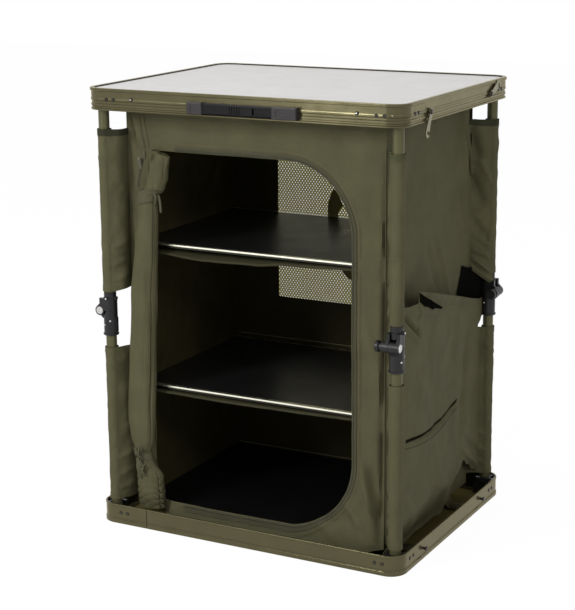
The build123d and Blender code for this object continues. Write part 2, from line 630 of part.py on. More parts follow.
def cupboard_front():
    """Front wall of the cupboard with the door opening."""
    half = CUPBOARD_WIDTH / 2
    wall = block(-half, half, FRONT_WALL_Y, FRONT_WALL_Y + CLOTH, FLOOR_HEIGHT + CLOTH + SEAT_GAP, WALL_TOP)
    return wall - push_y(door_outline(), FRONT_WALL_Y - 1, FRONT_WALL_Y + CLOTH + 1)


def shelf_sling(top):
    """Fabric shelf that carries a board, with a deeper hem along its front edge."""
    half_x, half_y = CUPBOARD_WIDTH / 2, CUPBOARD_DEPTH / 2
    z1 = top - SHELF_RAIL_HEIGHT - RUNNING_GAP
    sheet = block(-half_x, half_x, FRONT_WALL_Y + CLOTH + 2.4, half_y, z1 - CLOTH, z1)
    hem_y = FRONT_WALL_Y + CLOTH + 2.4
    hem = prism_x([(hem_y, z1), (hem_y, z1 - 9), (hem_y + 2, z1 - 9), (hem_y + 4, z1)], -half_x, half_x)
    return sheet + hem


def cupboard_body():
    """Side walls, rear wall with its window, floor and the two fabric shelves, sewn into one."""
    half_x, half_y = CUPBOARD_WIDTH / 2, CUPBOARD_DEPTH / 2
    y0 = FRONT_WALL_Y + CLOTH + SEAT_GAP
    body = block(-half_x, half_x, FRONT_WALL_Y, half_y, FLOOR_HEIGHT, FLOOR_HEIGHT + CLOTH)
    body = body + block(-half_x, -half_x + CLOTH, y0, half_y, FLOOR_HEIGHT, WALL_TOP)
    body = body + block(half_x - CLOTH, half_x, y0, half_y, FLOOR_HEIGHT, WALL_TOP)
    rear = block(-half_x, half_x, half_y - CLOTH, half_y, FLOOR_HEIGHT, WALL_TOP)
    side = WINDOW_WIDTH / 2
    window = block(-side, side, half_y - 5, half_y + 5, WINDOW_BOTTOM, WINDOW_TOP)
    body = body + (rear - window)
    for top in (UPPER_SHELF_TOP, LOWER_SHELF_TOP):
        body = body + shelf_sling(top)
    return body


def mesh_window():
    """Open net sewn over the window of the rear wall, as a sheet with rows of gaps."""
    y0 = CUPBOARD_DEPTH / 2 + SEAT_GAP
    margin = 2 * NET_MARGIN
    pitch_x = WINDOW_WIDTH / NET_COLUMNS
    pitch_z = WINDOW_HEIGHT / NET_ROWS
    middle = (WINDOW_TOP + WINDOW_BOTTOM) / 2
    net = Pos(0, middle) * Rectangle(WINDOW_WIDTH + margin, WINDOW_HEIGHT + margin)
    gaps = [
        Pos((i + 0.5) * pitch_x - WINDOW_WIDTH / 2, WINDOW_BOTTOM + (j + 0.5) * pitch_z)
        * Rectangle(pitch_x * NET_OPEN_SHARE, pitch_z * NET_OPEN_SHARE)
        for i in range(NET_COLUMNS)
        for j in range(NET_ROWS)
    ]
    return push_y(net - gaps, y0, y0 + CLOTH)


def roll_section(z, width, depth, shift):
    """One level of the rolled door: an oval against the front wall."""
    y = FRONT_WALL_Y - RUNNING_GAP - depth
    return Pos(ROLL_CENTRE_X + shift, y, z) * Ellipse(width, depth)


def rolled_door():
    """Door panel rolled up along its sewn edge: slack at the ends, drawn in at the two ties."""
    r = ROLL_RADIUS
    low, high = LOWER_TIE_HEIGHT, UPPER_TIE_HEIGHT
    levels = [
        (ROLL_BOTTOM, 0.9, 0.75, 4), (ROLL_BOTTOM + 45, 1.05, 0.95, 4), (low - 18, 0.85, 0.85, 1),
        (low + 18, 0.85, 0.85, 0), (low + 110, 1.0, 0.95, -1), ((low + high) / 2, 1.05, 1.0, -2),
        (high - 110, 1.0, 0.95, -1), (high - 18, 0.85, 0.85, 0), (high + 18, 0.85, 0.85, 2),
        (high + 55, 1.35, 0.85, 10), (ROLL_TOP, 0.8, 0.5, 14),
    ]
    sections = [roll_section(z, r * w, r * d, shift) for z, w, d, shift in levels]
    roll = loft(sections, ruled=True)
    ties = [tie_band(z) for z in (UPPER_TIE_HEIGHT, LOWER_TIE_HEIGHT)]
    return [roll] + ties


def tie_band(z):
    """Strap closed round the roll."""
    width = ROLL_RADIUS * 0.85
    centre = Pos(ROLL_CENTRE_X + 0.5, FRONT_WALL_Y - RUNNING_GAP - width, z - TIE_WIDTH / 2)
    inner = Ellipse(width + 0.8, width + 0.15)
    outer = Ellipse(width + 0.8 + TIE_THICKNESS, width + TIE_THICKNESS)
    band = centre * extrude(outer - inner, TIE_WIDTH)
    return band & block(-CUPBOARD_WIDTH, CUPBOARD_WIDTH, FRONT_WALL_Y - 60, FRONT_WALL_Y - 0.05, 0, HEIGHT)


def door_zip():
    """Zip half round the opening's free edge, with the slider parked at its upper end."""
    y1 = FRONT_WALL_Y - 0.05
    tape = door_outline(ZIP_WIDTH) - door_outline(1.0)
    keep = Pos((DOOR_LEFT + DOOR_RIGHT) / 2 + 20, (DOOR_TOP + DOOR_BOTTOM) / 2) * Rectangle(
        DOOR_RIGHT - DOOR_LEFT + 40, DOOR_TOP - DOOR_BOTTOM + 40)
    tape = tape & keep
    strip = push_y(tape, y1 - ZIP_THICKNESS, y1)
    x = DOOR_LEFT + 46
    z = DOOR_TOP + ZIP_WIDTH / 2
    slider = block(x, x + SLIDER_LENGTH, y1 - ZIP_THICKNESS - 3.4, y1 - ZIP_THICKNESS - 0.05, z - 4, z + 4)
    slider = chamfer(slider.edges().filter_by(Axis.Y), 1.6)
    return [strip, slider]


def side_pocket():
    """Patch pocket on the right wall: gusseted bag, open at the top, hem falling towards the back."""
    wall = CUPBOARD_WIDTH / 2 + SEAT_GAP
    y0, y1 = POCKET_FRONT, POCKET_BACK
    z0, z1 = POCKET_BOTTOM, POCKET_TOP
    out = wall + POCKET_DEPTH
    bag_outline = [(wall, z0), (out - 14, z0), (out - 2, z0 + 60), (out, z1 - 60), (out - 4, z1), (wall, z1)]
    bag = prism_y(bag_outline, y0, y1)
    t = CLOTH
    room = prism_y([(wall + t, z0 + t), (out - 14 - t, z0 + t), (out - 2 - t, z0 + 60), (out - t, z1 - 60),
                    (out - 4 - t, z1 + 1), (wall + t, z1 + 1)], y0 + t, y1 - t)
    bag = bag - room
    above = z1 + 20
    hem_outline = [(y0 - 1, above), (y0 - 1, z1), (y0 + 150, z1 - 26), (y1 + 1, z1 - 44), (y1 + 1, above)]
    bag = bag - prism_x(hem_outline, wall + t, out + 2)
    slit = block(out - 3, out + 2, SLOT_FRONT, SLOT_FRONT + SLOT_LENGTH, SLOT_HEIGHT - SLOT_GAP / 2,
                 SLOT_HEIGHT + SLOT_GAP / 2)
    bag = bag - slit
    return bag


def corner_flaps():
    """Upper and lower flaps at the four corners, each a thin upright strip."""
    flaps = []
    for corner in CORNERS:
        x, y, turn = CORNERS[corner]
        leg = at_corner(corner, Pos(LEG_FOLD_INSET, LEG_SIDE_INSET, 0) * Cylinder(1, 1)).center()
        sx, sy = math.copysign(1, x), math.copysign(1, y)
        wall_x = sx * (CUPBOARD_WIDTH / 2 + SEAT_GAP)
        wall_y = sy * (CUPBOARD_DEPTH / 2 + SEAT_GAP)
        dx, dy = leg.X - wall_x, leg.Y - wall_y
        span = math.hypot(dx, dy)
        ux, uy = dx / span, dy / span
        length = span - SLEEVE_RADIUS - RUNNING_GAP
        nx, ny = -uy * CLOTH / 2, ux * CLOTH / 2
        start_x, start_y = wall_x + ux * CLOTH, wall_y + uy * CLOTH
        end_x, end_y = wall_x + ux * length, wall_y + uy * length
        foot = make_face(Polyline((start_x + nx, start_y + ny), (end_x + nx, end_y + ny),
                                  (end_x - nx, end_y - ny), (start_x - nx, start_y - ny), close=True))
        for low, high in ((LOWER_SLEEVE_BOTTOM, LOWER_SLEEVE_TOP), (UPPER_SLEEVE_BOTTOM, UPPER_SLEEVE_TOP)):
            flaps.append(Pos(0, 0, low) * extrude(foot, high - low))
    return flaps


def shelf_board(top):
    """Board with its edges rebated to slide into the rails, so that its top lies level with them."""
    z1 = top - (SHELF_RAIL_HEIGHT - BOARD_THICKNESS) / 2
    half = SHELF_DEPTH / 2 - SHELF_RAIL_WALL - SEAT_GAP
    field = SHELF_DEPTH / 2 - SHELF_RAIL_DEPTH - SEAT_GAP
    x = SHELF_LENGTH / 2 - BOARD_END_SETBACK
    tongue = block(-x, x, -half, half, z1 - BOARD_THICKNESS, z1)
    return tongue + block(-x, x, -field, field, z1 - BOARD_THICKNESS, top)


def shelf_rails(top):
    """Bright channel gripping the front and the rear edge of a shelf board."""
    rails = []
    z0, z1 = top - SHELF_RAIL_HEIGHT, top
    half, x = SHELF_DEPTH / 2, SHELF_LENGTH / 2
    slot_top = top - (SHELF_RAIL_HEIGHT - BOARD_THICKNESS) / 2 + BOARD_FIT
    slot_foot = slot_top - BOARD_THICKNESS - 2 * BOARD_FIT
    for side in (-1, 1):
        edge = side * half
        inner = side * (half - SHELF_RAIL_DEPTH)
        web = side * (half - SHELF_RAIL_WALL)
        outline = [(edge, z0), (edge, z1), (inner, z1), (inner, slot_top), (web, slot_top), (web, slot_foot),
                   (inner, slot_foot), (inner, z0)]
        rails.append(prism_x(outline, -x, x))
    return rails


def floor_board():
    z0 = FLOOR_HEIGHT + CLOTH + SEAT_GAP
    x, y = FLOOR_BOARD_LENGTH / 2, FLOOR_BOARD_DEPTH / 2
    board = block(-x, x, -y, y, z0, z0 + FLOOR_BOARD_THICKNESS)
    return chamfer(board.edges().filter_by(Axis.Z), 6.0)


def cross_straps():
    """Two bent flat bars from rail to rail that carry the floor."""
    low = TRAY_FLANGE_THICKNESS
    high = FLOOR_HEIGHT - SEAT_GAP
    end = WIDTH / 2 - RAIL_WALL - SEAT_GAP
    t, raised = STRAP_THICKNESS, STRAP_RAISED_HALF
    foot = raised + STRAP_RAMP
    profile = [(-end, low), (-foot, low), (-raised, high - t), (raised, high - t), (foot, low), (end, low),
               (end, low + t), (foot - 1, low + t), (raised - 1, high), (-raised + 1, high),
               (-foot + 1, low + t), (-end, low + t)]
    return [prism_y(profile, side * STRAP_OFFSET - STRAP_WIDTH / 2, side * STRAP_OFFSET + STRAP_WIDTH / 2)
            for side in (-1, 1)]


def write(name, shapes):
    """Writes one sub-part; a group of like pieces stays separate solids in one file."""
    pieces = shapes if isinstance(shapes, list) else [shapes]
    solids = [solid for piece in pieces for solid in piece.solids()]
    export_step(Compound(children=solids), f"parts/{name}.step")


def build_legs():
    for corner in CORNERS:
        upper_clearance = PIN_CLEARANCE if corner == "front_left" else OPEN_PIVOT_CLEARANCE
        write(f"{corner}_lower_tube", at_corner(corner, leg_tube(PIN_CLEARANCE)))
        write(f"{corner}_upper_tube", at_corner(corner, mirrored(leg_tube(upper_clearance))))
        write(f"{corner}_lower_knee", at_corner(corner, at_knee(lower_knee())))
        write(f"{corner}_upper_knee", at_corner(corner, at_knee(upper_knee())))
        write(f"{corner}_knee_pin", at_corner(corner, at_knee(knee_pin())))
        write(f"{corner}_knee_button", at_corner(corner, at_knee(knee_button())))
        write(f"{corner}_lower_sleeve", at_corner(corner, sleeve(LOWER_SLEEVE_BOTTOM, LOWER_SLEEVE_TOP)))
        write(f"{corner}_upper_sleeve", at_corner(corner, sleeve(UPPER_SLEEVE_BOTTOM, UPPER_SLEEVE_TOP)))


def build_tray():
    tray_rivet_z, groove = PIVOT_HEIGHT - TRAY_RIVET_DROP, BEAD_GROOVE * 0.7
    stud_holes, studs = [], []
    for _, _, side, end in latch_places():
        studs.append(on_side(side, end, HOOK_PIVOT_Y, STUD_HEIGHT, latch_stud()))
        stud_holes.append(on_side(side, end, HOOK_PIVOT_Y, STUD_HEIGHT, bar_x(STUD_NECK_RADIUS, -9, 9, 0, 0)))
    holes = [at_corner(corner, hole) for corner in CORNERS for hole in rivet_holes(tray_rivet_z, corner)]
    joint = block(TRAY_JOINT_X - TRAY_JOINT_GAP / 2, TRAY_JOINT_X + TRAY_JOINT_GAP / 2, FRONT_FACE - 1,
                  FRONT_FACE + TRAY_FLANGE_WIDTH + 1, -1, TRAY_HEIGHT + 1)
    frame = tray_frame() - joint
    for hole in holes + stud_holes:
        frame = frame - hole
    brackets = []
    for bracket in corner_brackets(tray_bracket()):
        for hole in holes:
            bracket = bracket - hole
        brackets.append(bracket)
    rivets = []
    for corner in CORNERS:
        rivets += [at_corner(corner, rivet) for rivet in rivet_set(tray_rivet_z, groove, corner)]
    pins = [at_corner(corner, pivot_pin(PIVOT_HEIGHT)) for corner in CORNERS]
    write("tray_frame", frame)
    write("tray_corner_brackets", brackets)
    write("tray_rivets", rivets + pins)
    write("latch_studs", studs)
    write("tray_cross_straps", cross_straps())


def build_top():
    rivet_z, flat = HEIGHT - LID_RIVET_DROP, 0.0
    hook_z = HEIGHT - HOOK_PIVOT_DROP
    holes = [at_corner(corner, hole) for corner in CORNERS for hole in rivet_holes(rivet_z, corner)]
    frame = top_frame()
    screws = [frame_screw(x) for x in (SCREW_LEFT, SCREW_RIGHT)]
    for x in (SCREW_LEFT, SCREW_RIGHT):
        screw_z = HEIGHT - SCREW_DROP
        holes.append(bar_y(SCREW_RADIUS * 0.5, x, FRONT_FACE - 2, FRONT_FACE + RAIL_WALL + 1, screw_z))
    for _, _, side, end in latch_places():
        screws.append(on_side(side, end, HOOK_PIVOT_Y, hook_z, latch_screw()))
        holes.append(on_side(side, end, HOOK_PIVOT_Y, hook_z, bar_x(HOOK_PIN_RADIUS, -9, 9, 0, 0)))
    for hole in holes:
        frame = frame - hole
    brackets = []
    for bracket in corner_brackets(top_bracket()):
        for hole in holes:
            bracket = bracket - hole
        brackets.append(bracket)
    rivets = [at_corner(corner, rivet) for corner in CORNERS for rivet in rivet_set(rivet_z, flat, corner)]
    pins = [at_corner(corner, pivot_pin(UPPER_PIVOT_HEIGHT)) for corner in CORNERS]
    write("top_frame", frame)
    write("top_corner_brackets", brackets)
    write("top_rivets", rivets + pins)
    write("frame_screws", screws)
    write("tabletop", tabletop())
    write("handle_end_caps", [handle_cap(HANDLE_LEFT, HANDLE_LEFT + HANDLE_LEFT_CAP),
                              handle_cap(HANDLE_RIGHT - HANDLE_RIGHT_CAP, HANDLE_RIGHT)])
    write("handle_grip", handle_grip())
    for side_name, end_name, side, end in latch_places():
        swing = HOOK_LEAN if (end_name, side_name) == ("front", "right") else HOOK_SWING
        hook = Rot(swing, 0, 0) * latch_hook()
        write(f"latch_hook_{end_name}_{side_name}", on_side(side, end, HOOK_PIVOT_Y, hook_z, hook))


def build_cupboard():
    write("cupboard_front", cupboard_front())
    write("cupboard_body", cupboard_body())
    write("mesh_window", mesh_window())
    write("rolled_door", rolled_door())
    write("door_zip", door_zip())
    write("side_pocket", side_pocket())
    write("corner_flaps", corner_flaps())
    write("upper_shelf_board", shelf_board(UPPER_SHELF_TOP))
    write("upper_shelf_rails", shelf_rails(UPPER_SHELF_TOP))
    write("lower_shelf_board", shelf_board(LOWER_SHELF_TOP))
    write("lower_shelf_rails", shelf_rails(LOWER_SHELF_TOP))
    write("floor_board", floor_board())


os.makedirs("parts", exist_ok=True)
build_tray()
build_top()
build_legs()
build_cupboard()
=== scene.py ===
import math

import bpy
import numpy as np
from mathutils import Matrix, Vector, noise


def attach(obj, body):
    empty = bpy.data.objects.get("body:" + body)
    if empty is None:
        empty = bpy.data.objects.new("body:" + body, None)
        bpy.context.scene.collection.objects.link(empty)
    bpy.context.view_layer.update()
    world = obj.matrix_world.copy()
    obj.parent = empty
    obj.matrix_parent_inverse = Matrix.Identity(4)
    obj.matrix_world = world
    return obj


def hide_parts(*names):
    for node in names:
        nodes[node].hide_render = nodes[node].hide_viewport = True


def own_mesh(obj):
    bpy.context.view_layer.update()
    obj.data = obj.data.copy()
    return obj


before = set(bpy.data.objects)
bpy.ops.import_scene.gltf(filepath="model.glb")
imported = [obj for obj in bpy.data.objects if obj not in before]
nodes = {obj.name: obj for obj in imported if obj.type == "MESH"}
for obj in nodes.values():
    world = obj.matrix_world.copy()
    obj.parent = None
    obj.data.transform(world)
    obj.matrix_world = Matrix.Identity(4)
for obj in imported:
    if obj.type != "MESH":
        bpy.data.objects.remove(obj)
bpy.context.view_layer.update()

# The studio: a pale floor with a white surround, a large soft light high on the left, a weaker one on the
# right, and a camera that stands off the front right corner a little above the tabletop.
CAMERA_PLACE = (1.33449, -2.557271, 1.106287)
YAW, PITCH, ROLL = (math.radians(angle) for angle in (28.129, 14.028, -0.483))
FOCAL_LENGTH, SENSOR = 96.75, 36.0
FLOOR_SIZE, FLOOR_GREY, FLOOR_WHITE_SHARE, FLOOR_GLOW = 16.0, (0.78, 0.78, 0.77, 1), 0.94, 1.03
SURROUND_WHITE, SURROUND_LEVEL = (1.0, 0.99, 0.97, 1), 0.42
# The floor's colour under the tray is darkened as painted shade of the cupboard.
UNDER_TRAY, TRAY_ROUND, UNDER_TRAY_PAINTED_SHADE = (0.300, 0.235), 0.030, (0.110, 0.092, 0.034, 1)

back = Vector((math.sin(YAW) * math.cos(PITCH), -math.cos(YAW) * math.cos(PITCH), math.sin(PITCH)))
level = Vector((math.cos(YAW), math.sin(YAW), 0.0))
upright = back.cross(level)
across = level * math.cos(ROLL) + upright * math.sin(ROLL)
upward = upright * math.cos(ROLL) - level * math.sin(ROLL)
camera_data = bpy.data.cameras.new("camera")
camera_data.lens, camera_data.sensor_width = FOCAL_LENGTH, SENSOR
camera = bpy.data.objects.new("camera", camera_data)
bpy.context.scene.collection.objects.link(camera)
turned = Matrix((across, upward, back)).transposed().to_4x4()
camera.matrix_world = Matrix.Translation(CAMERA_PLACE) @ turned
bpy.context.scene.camera = camera
bpy.context.scene.view_settings.view_transform = "Standard"


def feed(tree, sockets, inputs):
    """Gives each named socket its value, or links it to the output that feeds it."""
    for name, value in inputs.items():
        if isinstance(value, bpy.types.NodeSocket):
            tree.links.new(value, sockets[name])
        else:
            sockets[name].default_value = value


def add(tree, kind, inputs=None, **settings):
    """Adds a shader node with its settings and inputs, and returns its outputs."""
    made = tree.nodes.new("ShaderNode" + kind)
    for name, value in settings.items():
        setattr(made, name, value)
    feed(tree, made.inputs, inputs or {})
    return made.outputs


def seen_white(tree, share):
    """Factor that is 'share' where the camera, a gloss or a clear piece looks at the surround."""
    path = add(tree, "LightPath")
    clear = add(tree, "Math", {0: path["Is Glossy Ray"], 1: path["Is Transmission Ray"]}, operation="MAXIMUM")
    seen = add(tree, "Math", {0: path["Is Camera Ray"], 1: clear[0]}, operation="MAXIMUM")
    return add(tree, "Math", {0: seen[0], 1: share}, operation="MULTIPLY")[0]


world = bpy.data.worlds.new("surround")
bpy.context.scene.world = world
world.use_nodes = True
tree = world.node_tree
tree.nodes.clear()
room = add(tree, "Background", {"Color": SURROUND_WHITE, "Strength": SURROUND_LEVEL})
white = add(tree, "Background", {"Color": (1, 1, 1, 1)})
add(tree, "OutputWorld",
    {"Surface": add(tree, "MixShader", {0: seen_white(tree, 1.0), 1: room[0], 2: white[0]})[0]})

bpy.ops.object.select_all(action="DESELECT")
bpy.ops.mesh.primitive_plane_add(size=FLOOR_SIZE, location=(0, 0, 0))
floor = bpy.context.object
floor.name = "studio_floor"
floor_material = bpy.data.materials.new("studio floor")
floor_material.use_nodes = True
tree = floor_material.node_tree
tree.nodes.clear()
# Inside the tray the floor's colour is darkened as painted shade of the cupboard above it, and no light from
# the surround is seen there
off_centre = add(tree, "VectorMath", {0: add(tree, "TexCoord")["Object"]}, operation="ABSOLUTE")
straight_half = (UNDER_TRAY[0] - TRAY_ROUND, UNDER_TRAY[1] - TRAY_ROUND, 0)
past_corner = add(tree, "VectorMath", {0: off_centre[0], 1: straight_half}, operation="SUBTRACT")
beyond = add(tree, "VectorMath", {0: past_corner[0]}, operation="MAXIMUM")
outside = add(tree, "VectorMath", {0: beyond[0]}, operation="LENGTH")["Value"]
edge = add(tree, "MapRange", {"Value": outside, "From Min": TRAY_ROUND - 0.006,
                              "From Max": TRAY_ROUND - 0.002})["Result"]
tint = add(tree, "Mix", {"Factor": edge, "A": UNDER_TRAY_PAINTED_SHADE, "B": FLOOR_GREY}, data_type="RGBA")["Result"]
paint = add(tree, "BsdfDiffuse", {"Color": tint})
glow = add(tree, "Emission", {"Color": (1, 1, 1, 1), "Strength": FLOOR_GLOW})
bright = add(tree, "Math", {0: seen_white(tree, FLOOR_WHITE_SHARE), 1: edge}, operation="MULTIPLY")
add(tree, "OutputMaterial", {"Surface": add(tree, "MixShader", {0: bright[0], 1: paint[0], 2: glow[0]})[0]})
floor.data.materials.append(floor_material)

# Name, place, point that it faces, edge length and power of each lamp
LAMPS = [
    ("key", (-1.30, -2.8, 1.75), (0.0, 0.0, 0.40), 0.7, 40.0),
    ("bead light", (-1.22, -2.75, 2.45), (0.15, -0.2, 0.75), 0.32, 14.0),
    ("face light", (-1.08, -2.75, 0.42), (0.15, -0.2, 0.75), 0.35, 2.4),
    ("right", (2.6, -1.3, 1.6), (0.1, 0.0, 0.4), 0.6, 12.0),
    ("side light", (1.70, 3.10, 0.42), (0.3, 0.0, 0.72), 0.5, 0.6),
    ("strip", (0.80, -2.6, 2.3), (0.28, -0.2, 0.5), 0.22, 6.0),
    ("overhead", (0.3, 0.4, 3.2), (0.0, 0.0, 0.7), 2.0, 6.0),
    ("ledge light", (-1.00, -0.25, 3.2), (0.1, -0.2, 0.7), 0.35, 14.0),
]
for name, place, target, size, power in LAMPS:
    lamp_data = bpy.data.lights.new(name, "AREA")
    lamp_data.shape, lamp_data.size, lamp_data.energy = "SQUARE", size, power
    lamp = bpy.data.objects.new(name, lamp_data)
    bpy.context.scene.collection.objects.link(lamp)
    aim = Vector(target) - Vector(place)
    lamp.matrix_world = Matrix.Translation(place) @ aim.to_track_quat("-Z", "Y").to_matrix().to_4x4()


# Tray: a bent aluminium extrusion, powder coated in a satin olive with a faint metallic sheen, that stands on
# its flange. Its two ends meet in a butt joint in the front rail. The lid's frame is coated the same.
OLIVE_COAT, COAT_EDGE_TINT = (0.098, 0.088, 0.047), (1.0, 0.93, 0.68, 1)
COAT_ROUGHNESS, COAT_METAL, COAT_SPECULAR = 0.22, 0.5, 0.2
COAT_GRAIN, COAT_GRAIN_DEPTH = 0.0016, 0.000012


def noise_of(tree, place, size, detail=3.0):
    """Noise texture whose features are about 'size' metres across, read at the given coordinates."""
    return add(tree, "TexNoise", {"Vector": place, "Scale": 1.0 / size, "Detail": detail})["Fac"]


def between(tree, factor, low, high, from_low=0.3, from_high=0.7):
    """Stretches a pattern to run from low to high."""
    return add(tree, "MapRange", {"Value": factor, "From Min": from_low, "From Max": from_high,
                                  "To Min": low, "To Max": high})["Result"]


def shaded(tree, colour, factor):
    """The colour times a factor that varies over the surface."""
    return add(tree, "Mix", {"Factor": 1.0, "A": (*colour, 1), "B": factor}, data_type="RGBA",
               blend_type="MULTIPLY")["Result"]


def new_finish(name):
    """A new material, its node tree and the inputs of its shader."""
    material = bpy.data.materials.new(name)
    material.use_nodes = True
    return material, material.node_tree, material.node_tree.nodes["Principled BSDF"].inputs


def hard_finish(name, colour, roughness, grain, depth, cloud=0.08, cloud_size=0.05, metal=0.0, specular=0.5):
    """Finish of a hard piece: faint clouding of the colour, uneven gloss and a fine grain."""
    material, tree, look = new_finish(name)
    place = add(tree, "TexCoord")["Object"]
    clouds, gloss = noise_of(tree, place, cloud_size, 4.0), noise_of(tree, place, cloud_size * 0.4, 5.0)
    bump = add(tree, "Bump", {"Distance": depth, "Height": noise_of(tree, place, grain, 2.0)})
    feed(tree, look, {"Base Color": shaded(tree, colour, between(tree, clouds, 1 - cloud, 1 + cloud)),
                      "Roughness": between(tree, gloss, roughness * 0.85, roughness * 1.2),
                      "Normal": bump["Normal"], "Metallic": metal, "Specular IOR Level": specular})
    return material


def dress(material, *names):
    """Gives CAD pieces their finish."""
    for name in names:
        for holder in nodes[name].material_slots:
            holder.material = material


olive_coat = hard_finish("olive powder coat", OLIVE_COAT, COAT_ROUGHNESS, COAT_GRAIN, COAT_GRAIN_DEPTH,
                         metal=COAT_METAL, specular=COAT_SPECULAR)
olive_coat.node_tree.nodes["Principled BSDF"].inputs["Specular Tint"].default_value = COAT_EDGE_TINT
dress(olive_coat, "tray_frame", "top_frame", "tray_cross_straps")

# Corner brackets: black nylon mouldings riveted inside the rails of tray and lid, with a fine spark-eroded
# grain. The rivets, the screws and the studs for the latches are blackened steel.
NYLON_BLACK, NYLON_GRAIN = (0.010, 0.010, 0.010), 0.0011
RIVET_BLACK, ZINC = (0.020, 0.018, 0.016), (0.56, 0.55, 0.53)

black_nylon = hard_finish("black nylon", NYLON_BLACK, 0.40, NYLON_GRAIN, 0.00006, cloud=0.2, cloud_size=0.02,
                          specular=0.32)
black_rivet = hard_finish("blackened rivet", RIVET_BLACK, 0.30, 0.0007, 0.00002, metal=0.6)
bright_zinc = hard_finish("zinc plated steel", ZINC, 0.27, 0.0009, 0.00001, cloud=0.05, cloud_size=0.01,
                          metal=1.0)
dress(black_nylon, "tray_corner_brackets", "top_corner_brackets")
dress(black_rivet, "tray_rivets", "top_rivets", "frame_screws", "latch_studs")

# Each corner's point at the ground, the way its leg folds and the way along its other rail
CORNERS = {
    "front_left": (Vector((-0.3, -0.235, 0)), Vector((1, 0, 0)), Vector((0, 1, 0))),
    "front_right": (Vector((0.3, -0.235, 0)), Vector((0, 1, 0)), Vector((-1, 0, 0))),
    "rear_right": (Vector((0.3, 0.235, 0)), Vector((-1, 0, 0)), Vector((0, -1, 0))),
    "rear_left": (Vector((-0.3, 0.235, 0)), Vector((0, -1, 0)), Vector((1, 0, 0))),
}


def metres(rows):
    """Turns a table of millimetres into metres."""
    return [metres(row) if isinstance(row, (list, tuple)) else row / 1000.0 for row in rows]


def turned_part(name, rings, segments, matrix, finish):
    """A turned part from (radius, height) steps in millimetres: a disc drawn up ring by ring, then placed."""
    rings = metres(rings)
    bpy.ops.object.select_all(action="DESELECT")
    bpy.ops.mesh.primitive_circle_add(vertices=segments, radius=rings[0][0], fill_type="NGON",
                                      location=(0, 0, rings[0][1]))
    piece = bpy.context.object
    piece.name = name
    bpy.ops.object.mode_set(mode="EDIT")
    bpy.ops.mesh.select_all(action="SELECT")
    for (radius, height), (last_radius, last_height) in zip(rings[1:], rings):
        share = radius / last_radius
        bpy.ops.mesh.extrude_region_move(TRANSFORM_OT_translate={"value": (0, 0, height - last_height)})
        bpy.ops.transform.resize(value=(share, share, 1))
    bpy.ops.mesh.select_all(action="SELECT")
    bpy.ops.mesh.normals_make_consistent(inside=False)
    bpy.ops.object.mode_set(mode="OBJECT")
    bpy.ops.object.transform_apply(location=True, rotation=False, scale=False)
    bpy.ops.object.shade_smooth_by_angle(angle=math.radians(35))
    piece.data.transform(matrix @ piece.matrix_world)
    piece.matrix_world = Matrix.Identity(4)
    piece.data.materials.append(finish)
    return piece


def pointing(spot, outward):
    """The place of a turned part that stands on a spot and points outward."""
    return Matrix.Translation(spot) @ outward.to_track_quat("Z", "Y").to_matrix().to_4x4()


# The rivets are hollow: a lighter mandrel end shows in the middle of each dark head, and a bright bead in the
# middle of the two screws in the lid's front rail.
MANDREL_OLIVE = (0.26, 0.24, 0.15)
RIVET_SETBACK, FRONT_RIGHT_SETBACK, RIVET_PITCH = 0.046, 0.033, 0.014
RIVET_HEIGHTS, HEAD_TOP_DEPTH = {"top": 0.771, "base": 0.021}, 0.0003
SCREW_PLACES = [(-0.204, -0.2363, 0.773), (0.2195, -0.2363, 0.773)]

mandrel = hard_finish("rivet mandrel", MANDREL_OLIVE, 0.35, 0.0007, 0.00001, metal=0.3)
for corner, (origin, fold_way, side_way) in CORNERS.items():
    beside = FRONT_RIGHT_SETBACK if corner == "front_right" else RIVET_SETBACK
    for body, height in RIVET_HEIGHTS.items():
        for along, across_way, setback, face in ((fold_way, side_way, RIVET_SETBACK, "fold"),
                                                 (side_way, fold_way, beside, "side")):
            for step in (0, 1):
                spot = origin + along * (setback + step * RIVET_PITCH) + across_way * HEAD_TOP_DEPTH
                core = turned_part(f"{body}_rivet_core_{corner}_{face}_{step + 1}",
                                   [(1.5, -0.3), (1.6, 0.1), (1.2, 0.3), (0.4, 0.5)], 12,
                                   pointing(spot + Vector((0, 0, height)), -across_way), mandrel)
                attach(core, body)
for count, place in enumerate(SCREW_PLACES):
    bead = turned_part(f"screw_bead_{count + 1}", [(1.3, -0.4), (1.4, 0.0), (1.1, 0.7), (0.4, 1.0)], 16,
                       Matrix.Translation(place) @ Matrix.Rotation(math.pi / 2, 4, "X"), bright_zinc)
    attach(bead, "top")

# Legs: coated tubes, each in two halves on a pair of nylon knee mouldings, with a bright capped steel pin
# and a push button. The mouldings are fixed to the tubes by small bright tubular rivets.
LEG_FOLD_INSET, LEG_SIDE_INSET, KNEE_HEIGHT = 0.026, 0.020, 0.395
TUBE_OLIVE = (0.100, 0.095, 0.046)
# Height above the knee's parting plane, way round the moulding (0 looks along the fold way, 90 to the side
# way), distance from the tube's axis and body of each small rivet
KNEE_RIVETS = [(0.0225, -90, 0.0142, "_upper_leg"), (0.0225, 90, 0.0110, "_upper_leg"),
               (-0.018, -62, 0.0125, "_lower_leg"), (-0.026, -118, 0.0125, "_lower_leg"),
               (-0.021, 70, 0.0125, "_lower_leg")]

